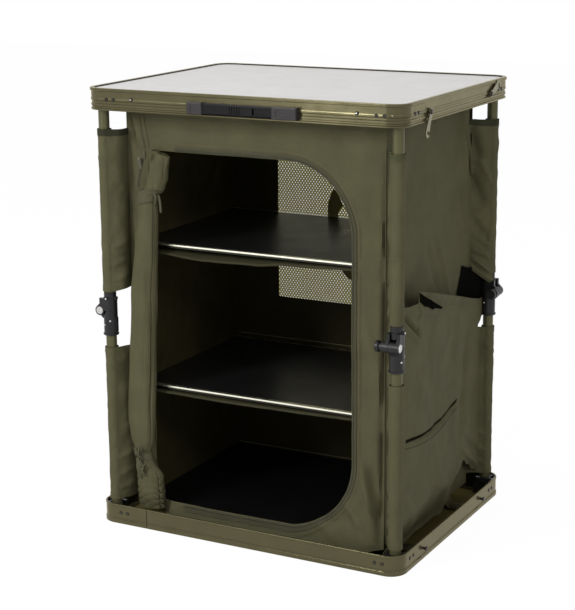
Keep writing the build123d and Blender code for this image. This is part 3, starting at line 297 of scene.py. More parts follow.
tube_coat = hard_finish("tube coat", TUBE_OLIVE, 0.36, COAT_GRAIN, COAT_GRAIN_DEPTH, metal=0.3,
                        specular=COAT_SPECULAR)
leg_axes = {}
for corner, (origin, fold_way, side_way) in CORNERS.items():
    dress(tube_coat, corner + "_lower_tube", corner + "_upper_tube")
    dress(black_nylon, corner + "_lower_knee", corner + "_upper_knee", corner + "_knee_button")
    dress(bright_zinc, corner + "_knee_pin")
    leg_axes[corner] = origin + fold_way * LEG_FOLD_INSET + side_way * LEG_SIDE_INSET
    for count, (height, around, reach, body) in enumerate(KNEE_RIVETS):
        angle = math.radians(around)
        outward = fold_way * math.cos(angle) + side_way * math.sin(angle)
        spot = leg_axes[corner] + outward * reach + Vector((0, 0, KNEE_HEIGHT + height))
        head = turned_part(f"{corner}_knee_rivet_{count + 1}",
                           [(1.7, -0.2), (1.9, 0.2), (1.6, 0.7), (0.7, 0.8), (0.5, 0.3)], 16,
                           pointing(spot, outward), bright_zinc)
        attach(head, corner + body)

# Leg sleeves: a loop of the same coated polyester round each half tube, closed by a seam, with a double hem
# at both ends. They pull the cupboard's corners out to the legs.
CLOTH_OLIVE, LINING_OLIVE = (0.096, 0.090, 0.048), (0.026, 0.025, 0.010)
CLOTH, WEAVE, WEAVE_DEPTH = 0.0010, 0.0011, 0.00010
HEM, HEM_STEP = 0.011, 0.0007
SLEEVE_RADIUS, SLEEVE_CLOTH = 0.0113, 0.0008
SLEEVES = {"lower": (0.042, 0.328), "upper": (0.430, 0.708)}
# Size and depth of a sleeve's swell, half width and height of the fold that winds round its head
SLEEVE_SWELL, SLEEVE_FOLD = (0.022, 0.0016), (0.004, 0.0012)
FRONT_LEFT_SLEEVE_TOP = 0.717


def cloth_finish(name, colour, cloud=0.10, specular=0.10):
    """Coated plain weave: over and under threads in the bump, soft mottling."""
    material, tree, look = new_finish(name)
    grid, place = add(tree, "UVMap")["UV"], add(tree, "TexCoord")["Object"]
    pitch = 2 * math.pi / (20.0 * WEAVE)
    threads = [add(tree, "TexWave", {"Vector": grid, "Scale": pitch}, bands_direction=way)["Fac"]
               for way in ("X", "Y")]
    over = add(tree, "TexChecker", {"Vector": grid, "Scale": 1.0 / WEAVE})["Fac"]
    weave = add(tree, "Mix", {"Factor": over, "A": threads[0], "B": threads[1]})[0]
    clouds = between(tree, noise_of(tree, place, 0.045, 4.0), 1 - cloud, 1 + cloud)
    flecks = between(tree, noise_of(tree, place, 0.0022, 2.0), 0.93, 1.07)
    mottle = add(tree, "Math", {0: clouds, 1: flecks}, operation="MULTIPLY")[0]
    crumple = add(tree, "Bump", {"Distance": 0.0012, "Strength": 0.7,
                                 "Height": noise_of(tree, place, 0.016, 3.0)})["Normal"]
    bump = add(tree, "Bump", {"Distance": WEAVE_DEPTH, "Height": weave, "Normal": crumple})["Normal"]
    feed(tree, look, {"Base Color": shaded(tree, colour, mottle),
                      "Roughness": between(tree, weave, 0.62, 0.78, 0.0, 1.0), "Normal": bump,
                      "Specular IOR Level": specular})
    return material


olive_cloth = cloth_finish("olive cloth", CLOTH_OLIVE)
cloth_back = cloth_finish("coated back of the cloth", LINING_OLIVE)


def billow(x, z, size, depth, seed):
    """Soft irregular swell of hanging cloth."""
    return depth * noise.noise(Vector((x / size, z / size, seed)))


def swell(x, z, broad, small, seed):
    """A broad and a small swell together, each given by its size and depth."""
    return billow(x, z, *broad, seed) + billow(x, z, *small, seed + 2)


def crease(x, z, start_x, start_z, end_x, end_z, width, depth):
    """Height of one soft fold that runs from start to end and dies away at both."""
    run_x, run_z = end_x - start_x, end_z - start_z
    length = math.hypot(run_x, run_z)
    along = ((x - start_x) * run_x + (z - start_z) * run_z) / length ** 2
    if not 0.0 < along < 1.0:
        return 0.0
    off = ((x - start_x) * run_z - (z - start_z) * run_x) / length
    return depth * math.exp(-(off / width) ** 2) * math.sin(math.pi * along) ** 0.6


def eased(table, value):
    """Reads a value from a table of (place, value), easing from one row to the next."""
    if value <= table[0][0]:
        return table[0][1]
    for (low, first), (high, second) in zip(table, table[1:]):
        if value <= high:
            share = (value - low) / (high - low)
            return first + (second - first) * share * share * (3 - 2 * share)
    return table[-1][1]


def cloth_mesh(name, points, cells, uvs, outer=None, inner=None, thickness=CLOTH):
    """A piece of cloth from its points and four-sided cells, with its flat size in metres as UV."""
    mesh = bpy.data.meshes.new(name)
    mesh.from_pydata(points, [], cells)
    layer = mesh.uv_layers.new(name="flat")
    for loop in mesh.loops:
        layer.data[loop.index].uv = uvs[loop.vertex_index]
    piece = bpy.data.objects.new(name, mesh)
    bpy.context.scene.collection.objects.link(piece)
    mesh.materials.append(outer or olive_cloth)
    mesh.materials.append(inner or outer or olive_cloth)
    bpy.ops.object.select_all(action="DESELECT")
    bpy.context.view_layer.objects.active = piece
    piece.select_set(True)
    wall = piece.modifiers.new("thickness", "SOLIDIFY")
    wall.thickness, wall.offset, wall.material_offset = thickness, -1.0, 1
    bpy.ops.object.modifier_apply(modifier=wall.name)
    bpy.ops.object.shade_smooth_by_angle(angle=math.radians(50))
    return piece


def cloth_grid(name, width, height, columns, rows, place, closed=False, turn_over=False, **looks):
    """Cloth laid out as a grid: place(u, v) gives the point at shares u and v of its width and height."""
    shares = [(i / columns, j / rows) for j in range(rows + 1) for i in range(columns + 1)]
    row = columns + 1
    cells = [(j * row + i, j * row + i + 1, (j + 1) * row + i + 1, (j + 1) * row + i)
             for j in range(rows) for i in range(columns)]
    if turn_over:
        cells = [cell[::-1] for cell in cells]
    piece = cloth_mesh(name, [place(u, v) for u, v in shares], cells,
                       [(u * width, v * height) for u, v in shares], **looks)
    if closed:
        bpy.ops.object.mode_set(mode="EDIT")
        bpy.ops.mesh.select_all(action="SELECT")
        bpy.ops.mesh.remove_doubles(threshold=0.00002)
        bpy.ops.object.mode_set(mode="OBJECT")
    return piece


def hem_swell(z, low, high):
    """Extra thickness of the doubled cloth at the two ends."""
    inside = min(z - low, high - z)
    return HEM_STEP * (1.0 - min(max((inside - HEM) / 0.0015, 0.0), 1.0))


loop_length = 2 * math.pi * SLEEVE_RADIUS
for corner, axis in leg_axes.items():
    for level_name, (low, high) in SLEEVES.items():
        seed = 3.1 * len(corner) + (7.0 if level_name == "upper" else 0.0)
        if (corner, level_name) == ("front_left", "upper"):
            high = FRONT_LEFT_SLEEVE_TOP

        def around_tube(u, v):
            angle = 2 * math.pi * (u % 1.0)
            z = low + v * (high - low)
            radius = SLEEVE_RADIUS + hem_swell(z, low, high)
            radius += abs(billow(math.cos(angle) * 0.02, z, *SLEEVE_SWELL, seed + math.sin(angle)))
            radius += abs(crease(math.cos(angle + z * 40) * 0.012, z, -0.012, high - 0.03, 0.012,
                                 high - 0.055, *SLEEVE_FOLD))
            return axis + Vector((radius * math.cos(angle), radius * math.sin(angle), z))

        sleeve = cloth_grid(f"{corner}_{level_name}_leg_sleeve", loop_length, high - low, 32, 90, around_tube,
                            closed=True, thickness=SLEEVE_CLOTH)
        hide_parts(f"{corner}_{level_name}_sleeve")
        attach(sleeve, f"{corner}_{level_name}_leg")

# Corner flaps: the strips of cloth between the cupboard's corner seams and the sleeves, hemmed above and
# below, their heads bound with tape. The slack in them gathers into short folds that run from the leg to the
# seam.
CUPBOARD_HALF_WIDTH, CUPBOARD_HALF_DEPTH = 0.248, 0.1845
# Side of the leg that a flap leaves from: 1 to the left of the way from the seam to the leg, -1 to its right
FLAP_SIDE = {"front_left": 1, "front_right": 1, "rear_right": -1, "rear_left": 1}
# Height at the seam and at the sleeve of each flap's foot and head, where they aren't level
FLAP_EDGES = {
    ("front_left", "upper"): ((0.436, 0.430), (0.716, 0.717)),
    ("rear_right", "upper"): ((0.441, 0.406), (0.716, 0.712)),
    ("front_right", "upper"): ((0.392, 0.430), (0.708, 0.708)),
    ("front_right", "lower"): ((0.034, 0.040), (0.386, 0.330)),
}
# Bulge of a flap towards its own side; the others hollow a little
FLAP_BULGE = {("front_left", "upper"): 0.0070, ("front_left", "lower"): 0.0020,
              ("rear_right", "upper"): 0.0010}
FLAP_HOLLOW = -0.0045
# The flaps' swells as (size, depth), and the folds from the leg as (height above the foot, fall to the leg)
FLAP_SWELL, FLAP_RIPPLE = (0.030, 0.0042), (0.011, 0.0012)
FLAP_FOLDS, FLAP_FOLD_SIZE = ((0.02, 0.006), (0.045, 0.012), (0.075, 0.016)), (0.005, 0.0030)
# Tuck of the front right flaps beside the seam: depth, place and half width as shares, and the cloth it takes
SEAM_TUCK, SEAM_TUCK_PLACE, SEAM_TUCK_WIDTH, SEAM_TUCK_CLOTH = 0.018, 0.15, 0.10, 0.030
# Each fold: distance from the seam and height at its start and end, half width and height, in millimetres
REAR_RIGHT_FOLDS = metres([(0, 478, 34, 460, 4.2, 6.5), (0, 462, 34, 432, 4, 7), (0, 446, 36, 412, 3.5, 5),
    (2, 712, 14, 640, 6, -12), (0, 625, 22, 552, 8, -13), (10, 650, 32, 596, 5.5, 6),
    (0, 535, 30, 488, 7.5, -10), (4, 505, 34, 480, 4.5, 5)])
BINDING_WIDTH, BINDING_PROUD, BINDING_OFF, BINDING_FALL, BINDING_CLOTH = 0.0115, 0.0009, 0.0012, 0.0105, 0.0028
BINDING_DARK, BINDING_OLIVE = (0.034, 0.035, 0.020), (0.074, 0.076, 0.038)

binding_cloth = cloth_finish("dark binding tape", BINDING_DARK)
plain_binding = cloth_finish("olive binding tape", BINDING_OLIVE)


def cupboard_piece(piece, replaced=None):
    """The cupboard's pieces stand on the tray and go with it; each gets its own copy of its mesh and hides the
    CAD piece it replaces.
    """
    if replaced:
        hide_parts(replaced)
    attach(piece, "base")
    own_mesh(piece)


def rear_tuck(z):
    """How far the head of the right wall's rear corner is drawn forward."""
    return eased([(0.600, 0.0), (0.720, 0.015)], z)


for corner, axis in leg_axes.items():
    seam = Vector((math.copysign(CUPBOARD_HALF_WIDTH, axis.x), math.copysign(CUPBOARD_HALF_DEPTH, axis.y), 0))
    way = axis - seam
    span = way.length
    way.normalize()
    side = Vector((-way.y, way.x, 0)) * FLAP_SIDE[corner]
    meets = axis + side * SLEEVE_RADIUS * 0.93 - way * SLEEVE_RADIUS * 0.30
    flat_width = span - SLEEVE_RADIUS * 0.3
    if corner == "front_left":
        meets += side * 0.0016 + way * 0.0030
    if corner == "front_right":
        flat_width += SEAM_TUCK_CLOTH
    for level_name, (low, high) in SLEEVES.items():
        feet, heads = FLAP_EDGES.get((corner, level_name), ((low + 0.002, low), (high, high)))
        seed = 1.7 * len(corner) + (4.0 if level_name == "upper" else 9.0)
        bulge = FLAP_BULGE.get((corner, level_name), FLAP_HOLLOW)

        def across_gap(u, v):
            low_z = feet[0] + (feet[1] - feet[0]) * u
            high_z = heads[0] + (heads[1] - heads[0]) * u
            z = low_z + v * (high_z - low_z)
            flat = seam.lerp(meets, u) - way * 0.0015 * (1 - u)
            hollow = bulge * math.sin(math.pi * u ** 0.8)
            slack = math.sin(math.pi * min(u * 1.15, 1.0))
            hollow += billow(u * 0.03, z, *FLAP_SWELL, seed) * slack
            hollow += billow(u * 0.03, z, *FLAP_RIPPLE, seed + 5) * slack
            for step, fall in FLAP_FOLDS:
                hollow += crease(u * 0.03, z, 0.0, feet[0] + step + fall, 0.031, feet[1] + step,
                                 *FLAP_FOLD_SIZE)
            if corner == "rear_right":
                flat.y -= rear_tuck(z) * (1 - u)
                if z > 0.4:
                    flat += (way * 0.0065 + side * 0.0035) * eased([(0.405, 1.0), (0.455, 0.0)], z) * u
                hollow += sum(crease(u * 0.034, z, *fold) for fold in REAR_RIGHT_FOLDS) * min(u * 6, 1.0)
            if corner == "front_right":
                hollow += SEAM_TUCK * math.exp(-((u - SEAM_TUCK_PLACE) / SEAM_TUCK_WIDTH) ** 2)
            return flat + side * (hollow + hem_swell(z, low_z, high_z)) + Vector((0, 0, z))

        flap = cloth_grid(f"{corner}_{level_name}_flap", span, high - low, 18, 90, across_gap,
                          turn_over=FLAP_SIDE[corner] == 1)
        max(heads) - min(feet)
        cupboard_piece(flap, "corner_flaps")

    def over_head(u, v):
        return across_gap(u, 0.9635 + 0.0395 * v) + side * BINDING_PROUD

    def round_head(u, v):
        angle, radius = 2 * math.pi * (u % 1.0), SLEEVE_RADIUS + BINDING_OFF
        z = heads[1] - BINDING_FALL + BINDING_WIDTH * v
        return axis + Vector((radius * math.cos(angle), radius * math.sin(angle), z))

    tape_cloth = plain_binding if corner == "front_right" else binding_cloth
    tape = cloth_grid(f"{corner}_flap_head_binding", span, BINDING_WIDTH, 14, 3, over_head, outer=tape_cloth,
                      turn_over=FLAP_SIDE[corner] == 1, thickness=BINDING_CLOTH)
    cupboard_piece(tape)
    tape = cloth_grid(f"{corner}_sleeve_head_binding", loop_length, BINDING_WIDTH, 28, 3, round_head,
                      closed=True, outer=tape_cloth, thickness=SLEEVE_CLOTH)
    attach(tape, f"{corner}_upper_leg")

# Floor board and shelf boards: black laminated boards with a low gloss, the shelves gripped front and back
# by bright anodised channels that mirror the studio.
BOARD_BLACK, FLOOR_BOARD_BLACK = (0.008, 0.008, 0.0085), (0.004, 0.004, 0.004)
RAIL_SILVER = (0.93, 0.92, 0.76)
BOARD_FEET = {"upper": 0.510, "lower": 0.251}
# The rounded foot of a rail is darkened between these heights above the board's foot, as painted shade
RAIL_SHADE_FOOT, RAIL_SHADE_HEAD = 0.0028, 0.0038

board_black = hard_finish("black board", BOARD_BLACK, 0.32, 0.0014, 0.000005, cloud=0.03, cloud_size=0.20,
                          specular=0.58)
floor_black = hard_finish("black floor board", FLOOR_BOARD_BLACK, 0.45, 0.0014, 0.000005, cloud=0.03,
                          cloud_size=0.20, specular=0.12)
dress(floor_black, "floor_board")
dress(board_black, "upper_shelf_board", "lower_shelf_board")
for name, foot in BOARD_FEET.items():
    rail = hard_finish(f"bright {name} rail", RAIL_SILVER, 0.30, 0.0008, 0.00001, cloud=0.03, cloud_size=0.02,
                       metal=1.0)
    tree = rail.node_tree
    height = add(tree, "SeparateXYZ", {0: add(tree, "TexCoord")["Object"]})["Z"]
    shade = between(tree, height, 0.04, 1.0, foot + RAIL_SHADE_FOOT, foot + RAIL_SHADE_HEAD)
    feed(tree, tree.nodes["Principled BSDF"].inputs, {"Base Color": shaded(tree, RAIL_SILVER, shade)})
    dress(rail, f"{name}_shelf_rails")

# Side walls and floor of the cupboard: plain weave with a dark coating inside, sewn along every corner and
# hung from the lid. They belly out a little between the seams and carry soft drag lines from the corners.
WALL_FOOT, WALL_HEAD = 0.0262, 0.7822
WALL_HEIGHT, WALL_WIDTH, WALL_DEPTH = WALL_HEAD - WALL_FOOT, 2 * CUPBOARD_HALF_WIDTH, 2 * CUPBOARD_HALF_DEPTH
SIDE_SWELL, FLOOR_SWELL = ((0.085, 0.0050), (0.030, 0.0014)), (0.05, 0.0008)
# The inside of the left wall is a lighter copy of the coated back, as painted light.
LEFT_WALL_BACK_PAINTED_LIGHT = (0.044, 0.038, 0.015)
# Each fold: depth and height of its start and end on the wall, half width and height, in millimetres
RIGHT_WALL_FOLDS = metres([(108, 745, 170, 610, 8.5, 10), (134, 770, 182, 610, 11, -11),
    (18, 545, 96, 400, 5.5, 5.5), (-20, 530, 60, 400, 10, -4), (110, 470, 172, 560, 6, 5),
    (134, 600, 172, 500, 6, -5), (-176, 760, -120, 640, 12, 3), (-150, 460, -60, 380, 10, 4)])
LEFT_WALL_FOLDS = metres([(-170, 730, -90, 560, 10, 3.5), (165, 700, 80, 500, 12, 3),
    (-160, 120, -60, 300, 10, 3), (150, 80, 50, 230, 12, 3)])

left_back_painted_light = cloth_finish("coated back of the left wall, lightened as painted light", LEFT_WALL_BACK_PAINTED_LIGHT)
for name, side, folds, belly, seed, inside in (("right_wall", 1, RIGHT_WALL_FOLDS, -0.001, 2.0, cloth_back),
                                               ("left_wall", -1, LEFT_WALL_FOLDS, 0.010, 11.0, left_back_painted_light)):
    def side_cloth(u, v):
        y, z = (2 * u - 1) * CUPBOARD_HALF_DEPTH * side, WALL_FOOT + v * WALL_HEIGHT
        free = math.sin(math.pi * u) ** 0.5 * math.sin(math.pi * min(v * 1.04, 1.0)) ** 0.5
        out = belly * math.sin(math.pi * u) * math.sin(math.pi * v)
        out += swell(y, z, *SIDE_SWELL, seed) * free + sum(crease(y, z, *fold) for fold in folds)
        tuck = rear_tuck(z) * max(u - 0.75, 0.0) * 4 if side > 0 else 0.0
        return Vector((side * (CUPBOARD_HALF_WIDTH + out), y - tuck, z))

    wall = cloth_grid(name, WALL_DEPTH, WALL_HEIGHT, 74, 150, side_cloth, inner=inside)
    cupboard_piece(wall, "cupboard_body")


def floor_cloth(u, v):
    x, y = (2 * u - 1) * CUPBOARD_HALF_WIDTH, (2 * v - 1) * CUPBOARD_HALF_DEPTH
    return Vector((x, y, WALL_FOOT - 0.0002 - abs(billow(x, y, *FLOOR_SWELL, 4.0))))


floor_piece = cloth_grid("cupboard_floor", WALL_WIDTH, WALL_DEPTH, 60, 44, floor_cloth)
cupboard_piece(floor_piece, "cupboard_body")

# Rear wall: the same cloth with a large window cut in it and bound all round. It is laid out as rings of
# cells that follow the opening and widen to the wall's own edge.
WINDOW, REAR_SWELL = (-0.150, 0.150, 0.346, 0.706), ((0.09, 0.0050), (0.035, 0.0014))
SEWN_CORNER, RING_STEPS, RING_WIDENING = 0.004, 20, 1.25
WINDOW_BINDING, BINDING_STEP, BARE_BACK = 0.009, 0.0010, (0.024, 0.021, 0.008)
# The shelves keep the cloth out at these heights, as far along as their rails reach
SHELF_HEIGHTS, SHELF_END, SHELF_REACH = (0.511, 0.252), 0.240, 0.011

bare_back = cloth_finish("bare back of the cloth", BARE_BACK)
wall_outline = (-CUPBOARD_HALF_WIDTH, CUPBOARD_HALF_WIDTH, WALL_FOOT, WALL_HEAD)


def fine(line, step=0.006):
    """The same line with points close together; the first two values of each point are its place."""
    result = []
    for start, end in zip(line, line[1:]):
        count = max(int(math.dist(start[:2], end[:2]) / step), 1)
        result += [tuple(p + (q - p) * (k / count) for p, q in zip(start, end)) for k in range(count)]
    return result + [tuple(line[-1])]


def edge_beyond(x, z, angle):
    """The point of the wall's edge that is seen from a place in a direction."""
    x0, x1, z0, z1 = wall_outline
    dx, dz = math.cos(angle), math.sin(angle)
    reach = min(((x1 if dx > 0 else x0) - x) / dx if abs(dx) > 1e-9 else math.inf,
                ((z1 if dz > 0 else z0) - z) / dz if abs(dz) > 1e-9 else math.inf)
    return x + dx * reach, z + dz * reach


def round_opening(opening, left_radius, right_radius):
    """Places on an opening's edge, each with the place straight out from it on the wall's edge."""
    x0, x1, z0, z1 = wall_outline
    left, right, foot, head = opening
    arcs = []
    for corner_x, corner_z, to_x, to_z, radius, first in (
            (right, foot, -1, 1, right_radius, -90), (right, head, -1, -1, right_radius, 0),
            (left, head, 1, -1, left_radius, 90), (left, foot, 1, 1, left_radius, 180)):
        x, z, start = corner_x + to_x * radius, corner_z + to_z * radius, math.radians(first)
        to_wall_corner = math.atan2((z0 if to_z > 0 else z1) - z, (x0 if to_x > 0 else x1) - x)
        count = max(int(radius * math.pi / 2 / 0.006), 12)
        angles = sorted({round(start + math.pi / 2 * k / count, 6) for k in range(count)}
                        | {round(start + (to_wall_corner - start) % (2 * math.pi), 6)})
        arcs.append([(x + radius * math.cos(angle), z + radius * math.sin(angle), *edge_beyond(x, z, angle))
                     for angle in [*angles, start + math.pi / 2]])
    places = []
    for arc, following in zip(arcs, arcs[1:] + arcs[:1]):
        places += arc[:-1] + fine([arc[-1], following[0]])[:-1]
    return places


def ringed_wall(name, opening, left_radius, right_radius, place, inside, turn_over):
    """A wall with an opening, from rings of cells between the opening's edge and the wall's edge."""
    round_edge = round_opening(opening, left_radius, right_radius)
    points, uvs, cells, count = [], [], [], len(round_edge)
    for k in range(RING_STEPS + 1):
        t = (k / RING_STEPS) ** RING_WIDENING
        for edge_x, edge_z, out_x, out_z in round_edge:
            x, z = edge_x + (out_x - edge_x) * t, edge_z + (out_z - edge_z) * t
            points.append(place(x, z, math.dist((x, z), (edge_x, edge_z))))
            uvs.append((x, z))
    for k in range(RING_STEPS):
        for i in range(count):
            j = (i + 1) % count
            cell = (k * count + i, k * count + j, (k + 1) * count + j, (k + 1) * count + i)
            cells.append(cell if turn_over else cell[::-1])
    return cloth_mesh(name, points, cells, uvs, inner=inside)


def hollow_room(z):
    """How far inwards the front and rear walls may hollow at a height: not at all beside a shelf."""
    return -0.25 * max(min(abs(z - height) for height in SHELF_HEIGHTS) - SHELF_REACH, 0.0)


def rear_cloth(x, z, rim):
    free = math.sin(math.pi * (x / 0.5 + 0.5)) * math.sin(math.pi * (z - WALL_FOOT) / WALL_HEIGHT)
    out = max(swell(x, z, *REAR_SWELL, 21.0) * free, hollow_room(z))
    out += BINDING_STEP if rim < WINDOW_BINDING else 0.0
    return Vector((x, CUPBOARD_HALF_DEPTH - 0.0002 + out, z))


rear_wall = ringed_wall("rear_wall", WINDOW, SEWN_CORNER, SEWN_CORNER, rear_cloth, bare_back, True)
cupboard_piece(rear_wall, "cupboard_body")

# Net window: warp-knitted polyester net sewn over the opening from behind. Its small openings stand in
# staggered rows, so each mesh is a diamond with a rounded hole.
NET_OLIVE, NET_GLOW, NET_GLOW_SHARE = (0.330, 0.310, 0.110), (0.43, 0.41, 0.09, 1), 0.6
NET_PITCH_X, NET_PITCH_Z = 0.0060, 0.0084
NET_HOLE, NET_MARGIN, NET_OFF, NET_THREAD, NET_SWELL = 0.41, 0.008, 0.0016, 0.0006, (0.11, 0.0030)

net_thread = hard_finish("net thread", NET_OLIVE, 0.7, 0.0009, 0.00008, cloud=0.1, cloud_size=0.02,
                         specular=0.1)
# The thread is thin enough to let some of the light behind it through
tree = net_thread.node_tree
through = add(tree, "BsdfTranslucent", {"Color": NET_GLOW})[0]
thin = add(tree, "MixShader", {0: NET_GLOW_SHARE, 1: tree.nodes["Principled BSDF"].outputs[0], 2: through})[0]
feed(tree, tree.nodes["Material Output"].inputs, {"Surface": thin})
left, right, foot, head = (edge + off for edge, off in zip(WINDOW, (-NET_MARGIN, NET_MARGIN) * 2))
net_ways = ((1, 0), (0, 1), (-1, 0), (0, -1))
corner_at, net_points, net_cells = {}, [], []


def net_point(i, j):
    """Adds a point of the net, counted in half pitches from its lower left corner."""
    x, z = left + i * NET_PITCH_X / 2, foot + j * NET_PITCH_Z / 2
    sag = billow(x, z, *NET_SWELL, 31.0)
    net_points.append((x, CUPBOARD_HALF_DEPTH + NET_OFF + abs(sag), z))
    return len(net_points) - 1


for i in range(1, int((right - left) / NET_PITCH_X * 2)):
    for j in range(1, int((head - foot) / NET_PITCH_Z * 2)):
        if (i + j) % 2 == 0:
            continue
        outside = []
        for dx, dz in net_ways:
            if (i + dx, j + dz) not in corner_at:
                corner_at[i + dx, j + dz] = net_point(i + dx, j + dz)
            outside.append(corner_at[i + dx, j + dz])
        inside = [net_point(i + dx * NET_HOLE, j + dz * NET_HOLE) for dx, dz in net_ways]
        for k, m in ((0, 1), (1, 2), (2, 3), (3, 0)):
            net_cells.append((outside[m], outside[k], inside[k], inside[m]))
net = cloth_mesh("window_net", net_points, net_cells, [(x, z) for x, y, z in net_points], outer=net_thread,
                 thickness=NET_THREAD)
cupboard_piece(net, "mesh_window")

# Dark cloth tabs that hang before the net at the right: the ends of the rear wall's inner loop. Their
# outlines are in millimetres.
TAB_OLIVE, TAB_PLACE = (0.085, 0.076, 0.026), 0.1795
TABS = {"upper": [(-27.0, 569.0), (-35.4, 551.9), (-39.7, 536.2), (-40.0, 508.0), (-17.0, 508.0),
                  (-18.6, 522.5), (-8.0, 538.7), (-16.4, 555.3)],
        "lower": [(-15.0, 428.0), (-14.4, 418.2), (-5.9, 405.3), (11.0, 393.4), (34.0, 386.0), (42.0, 428.0)]}

tab_cloth = cloth_finish("dark tab", TAB_OLIVE)
for name, outline in TABS.items():
    outline = metres(outline)
    tab = cloth_mesh(f"net_tab_{name}", [(x, TAB_PLACE, z) for x, z in outline],
                     [tuple(range(len(outline)))[::-1]], outline, outer=tab_cloth, thickness=SLEEVE_CLOTH)
    cupboard_piece(tab)

# Shelf slings: cloth shelves sewn into the walls, which carry the boards. Each is hemmed along the front,
# and the hem hangs a little below the bright rail in a slack line. The slings and their hems are a darker copy
# of the olive cloth, as painted shade.
SLING_SHADED_OLIVE, SLING_FRONT, SLING_LIP = (0.046, 0.043, 0.023), -0.1805, 0.012
# The walls are drawn in a little where the slings are sewn to them
SLING_TUCK = 0.962
# Drop of the front hems below the boards, along the shelf from left to right
UPPER_HEM_DROP = metres([(-248, 3), (-200, 7.5), (-110, 13), (0, 11), (70, 5), (180, 2), (248, 1)])
LOWER_HEM_DROP = metres([(-248, 2), (-170, 3.5), (-60, 5), (60, 4), (190, 2), (248, 1)])

sling_shaded_olive = cloth_finish("sling cloth with painted shade", SLING_SHADED_OLIVE)
depth = CUPBOARD_HALF_DEPTH - SLING_FRONT
for name, drops, seed in (("upper", UPPER_HEM_DROP, 41.0), ("lower", LOWER_HEM_DROP, 47.0)):
    top = BOARD_FEET[name]

    def sling_cloth(u, v):
        x, y = (2 * u - 1) * (CUPBOARD_HALF_WIDTH - 0.0012), SLING_FRONT + v * (depth - 0.0015)
        sag = eased(drops, x) * math.exp(-v * depth / 0.030)
        ripple = abs(billow(x, y, 0.06, 0.0022, seed)) * math.sin(math.pi * u) ** 0.4
        return Vector((x * SLING_TUCK, y, top - 0.0006 - sag - ripple))

    def lip_cloth(u, v):
        x = (2 * u - 1) * (CUPBOARD_HALF_WIDTH - 0.0012)
        z = top - 0.0012 - eased(drops, x) - 0.0035 + v * 0.0042 + billow(x, 0.0, 0.02, 0.0006, seed)
        return Vector((x * SLING_TUCK, SLING_FRONT - 0.0008 - 0.0012 * math.sin(math.pi * v), z))

    sling = cloth_grid(f"{name}_shelf_sling", WALL_WIDTH, depth, 80, 40, sling_cloth, outer=sling_shaded_olive,
                       inner=cloth_back)
    cupboard_piece(sling, "cupboard_body")
    cupboard_piece(cloth_grid(f"{name}_sling_hem", WALL_WIDTH, SLING_LIP, 80, 4, lip_cloth, outer=sling_shaded_olive))

# Front wall: one panel with the large door opening, whose right corners are sweeping rounds. Its free edge
# carries half of the zip, so it is doubled there, and the slack below the rounds drops in folds to the tray.
DOOR, DOOR_CORNER, FRONT_SWELL = (-0.188, 0.187, 0.045, 0.681), 0.122, ((0.070, 0.0034), (0.026, 0.0012))
FRONT_WALL = -CUPBOARD_HALF_DEPTH
FACING, FACING_STEP, CLEAR_OF_CORNER = 0.016, 0.0011, 0.0035
# The slack at the foot hangs past the floor board into the tray
FOOT_TURN, FOOT_DROP, FOOT_BULGE = 0.062, 0.014, 0.0085
# Each fold: place along the wall and height of its start and end, half width and height, in millimetres
FRONT_FOLDS = metres([(203, 180, 238, 24, 6.5, 9.5), (168, 112, 228, 20, 6, 6.5), (222, 170, 246, 60, 7, -6),
    (214, 620, 222, 200, 20, -3), (247.5, 715, 240, 30, 3.5, -12), (110, 60, 180, 28, 5, 3),
    (-246, 760, -224, 670, 3.5, -8), (-236, 756, -214, 676, 5, 4), (-243, 690, -232, 560, 5, -4),
    (236, 770, 150, 705, 9, 2.8), (120, 770, 225, 660, 11, -2.5), (-50, 772, 60, 712, 12, 2),
    (205, 450, 240, 300, 9, 2.5)])


def strip_pull(z):
    """How far the rolled door draws the strip at its left to the leg."""
    return eased([(0.050, 0.0), (0.120, 0.017), (0.400, 0.017), (0.570, 0.0)], z)


def front_cloth(x, z, rim):
    edge = min(x + CUPBOARD_HALF_WIDTH, CUPBOARD_HALF_WIDTH - x, WALL_HEAD - z, z - WALL_FOOT)
    free = min(max(edge, 0.0) / 0.03, 1.0)
    out = swell(x, z, *FRONT_SWELL, 51.0) * free + sum(crease(x, z, *fold) for fold in FRONT_FOLDS)
    out += FACING_STEP if rim < FACING else 0.0
    out = max(out, hollow_room(z) - (CLEAR_OF_CORNER if x > SHELF_END else 0.0))
    side_out = 0.0
    if x < DOOR[0] + 0.0001:
        side_out = -strip_pull(z) * (x + CUPBOARD_HALF_WIDTH) / (DOOR[0] + CUPBOARD_HALF_WIDTH)
    low = min(max((FOOT_TURN - z) / (FOOT_TURN - WALL_FOOT), 0.0), 1.0)
    low *= eased([(-0.232, 0.0), (-0.160, 1.0), (0.212, 1.0), (0.244, 0.25)], x)
    return Vector((x + side_out, FRONT_WALL - out - FOOT_BULGE * low, z - FOOT_DROP * low * low))


front_wall = ringed_wall("front_wall", DOOR, SEWN_CORNER, DOOR_CORNER, front_cloth, cloth_back, False)
cupboard_piece(front_wall, "cupboard_front")

# Zip: a coil zip sewn along the opening's free edge on a narrow tape, teeth towards the opening, with two
# rows of stitching that run on over the cloth above the door.
ZIP_TAPE, ZIP_END, ZIP_OLIVE, COIL_OLIVE = 0.0095, -0.150, (0.070, 0.068, 0.040), (0.060, 0.058, 0.036)
TOOTH_PITCH, TOOTH = 0.0030, (0.0011, 0.0014, 0.0009)
STITCH_PITCH, STITCH, BOLD_STITCH = 0.0042, (0.0015, 0.00038, 0.00038), (0.0015, 0.0006, 0.0006)
THREAD_OLIVE, LIGHT_THREAD, DARK_THREAD = (0.150, 0.143, 0.090), (0.42, 0.40, 0.27), (0.016, 0.016, 0.010)

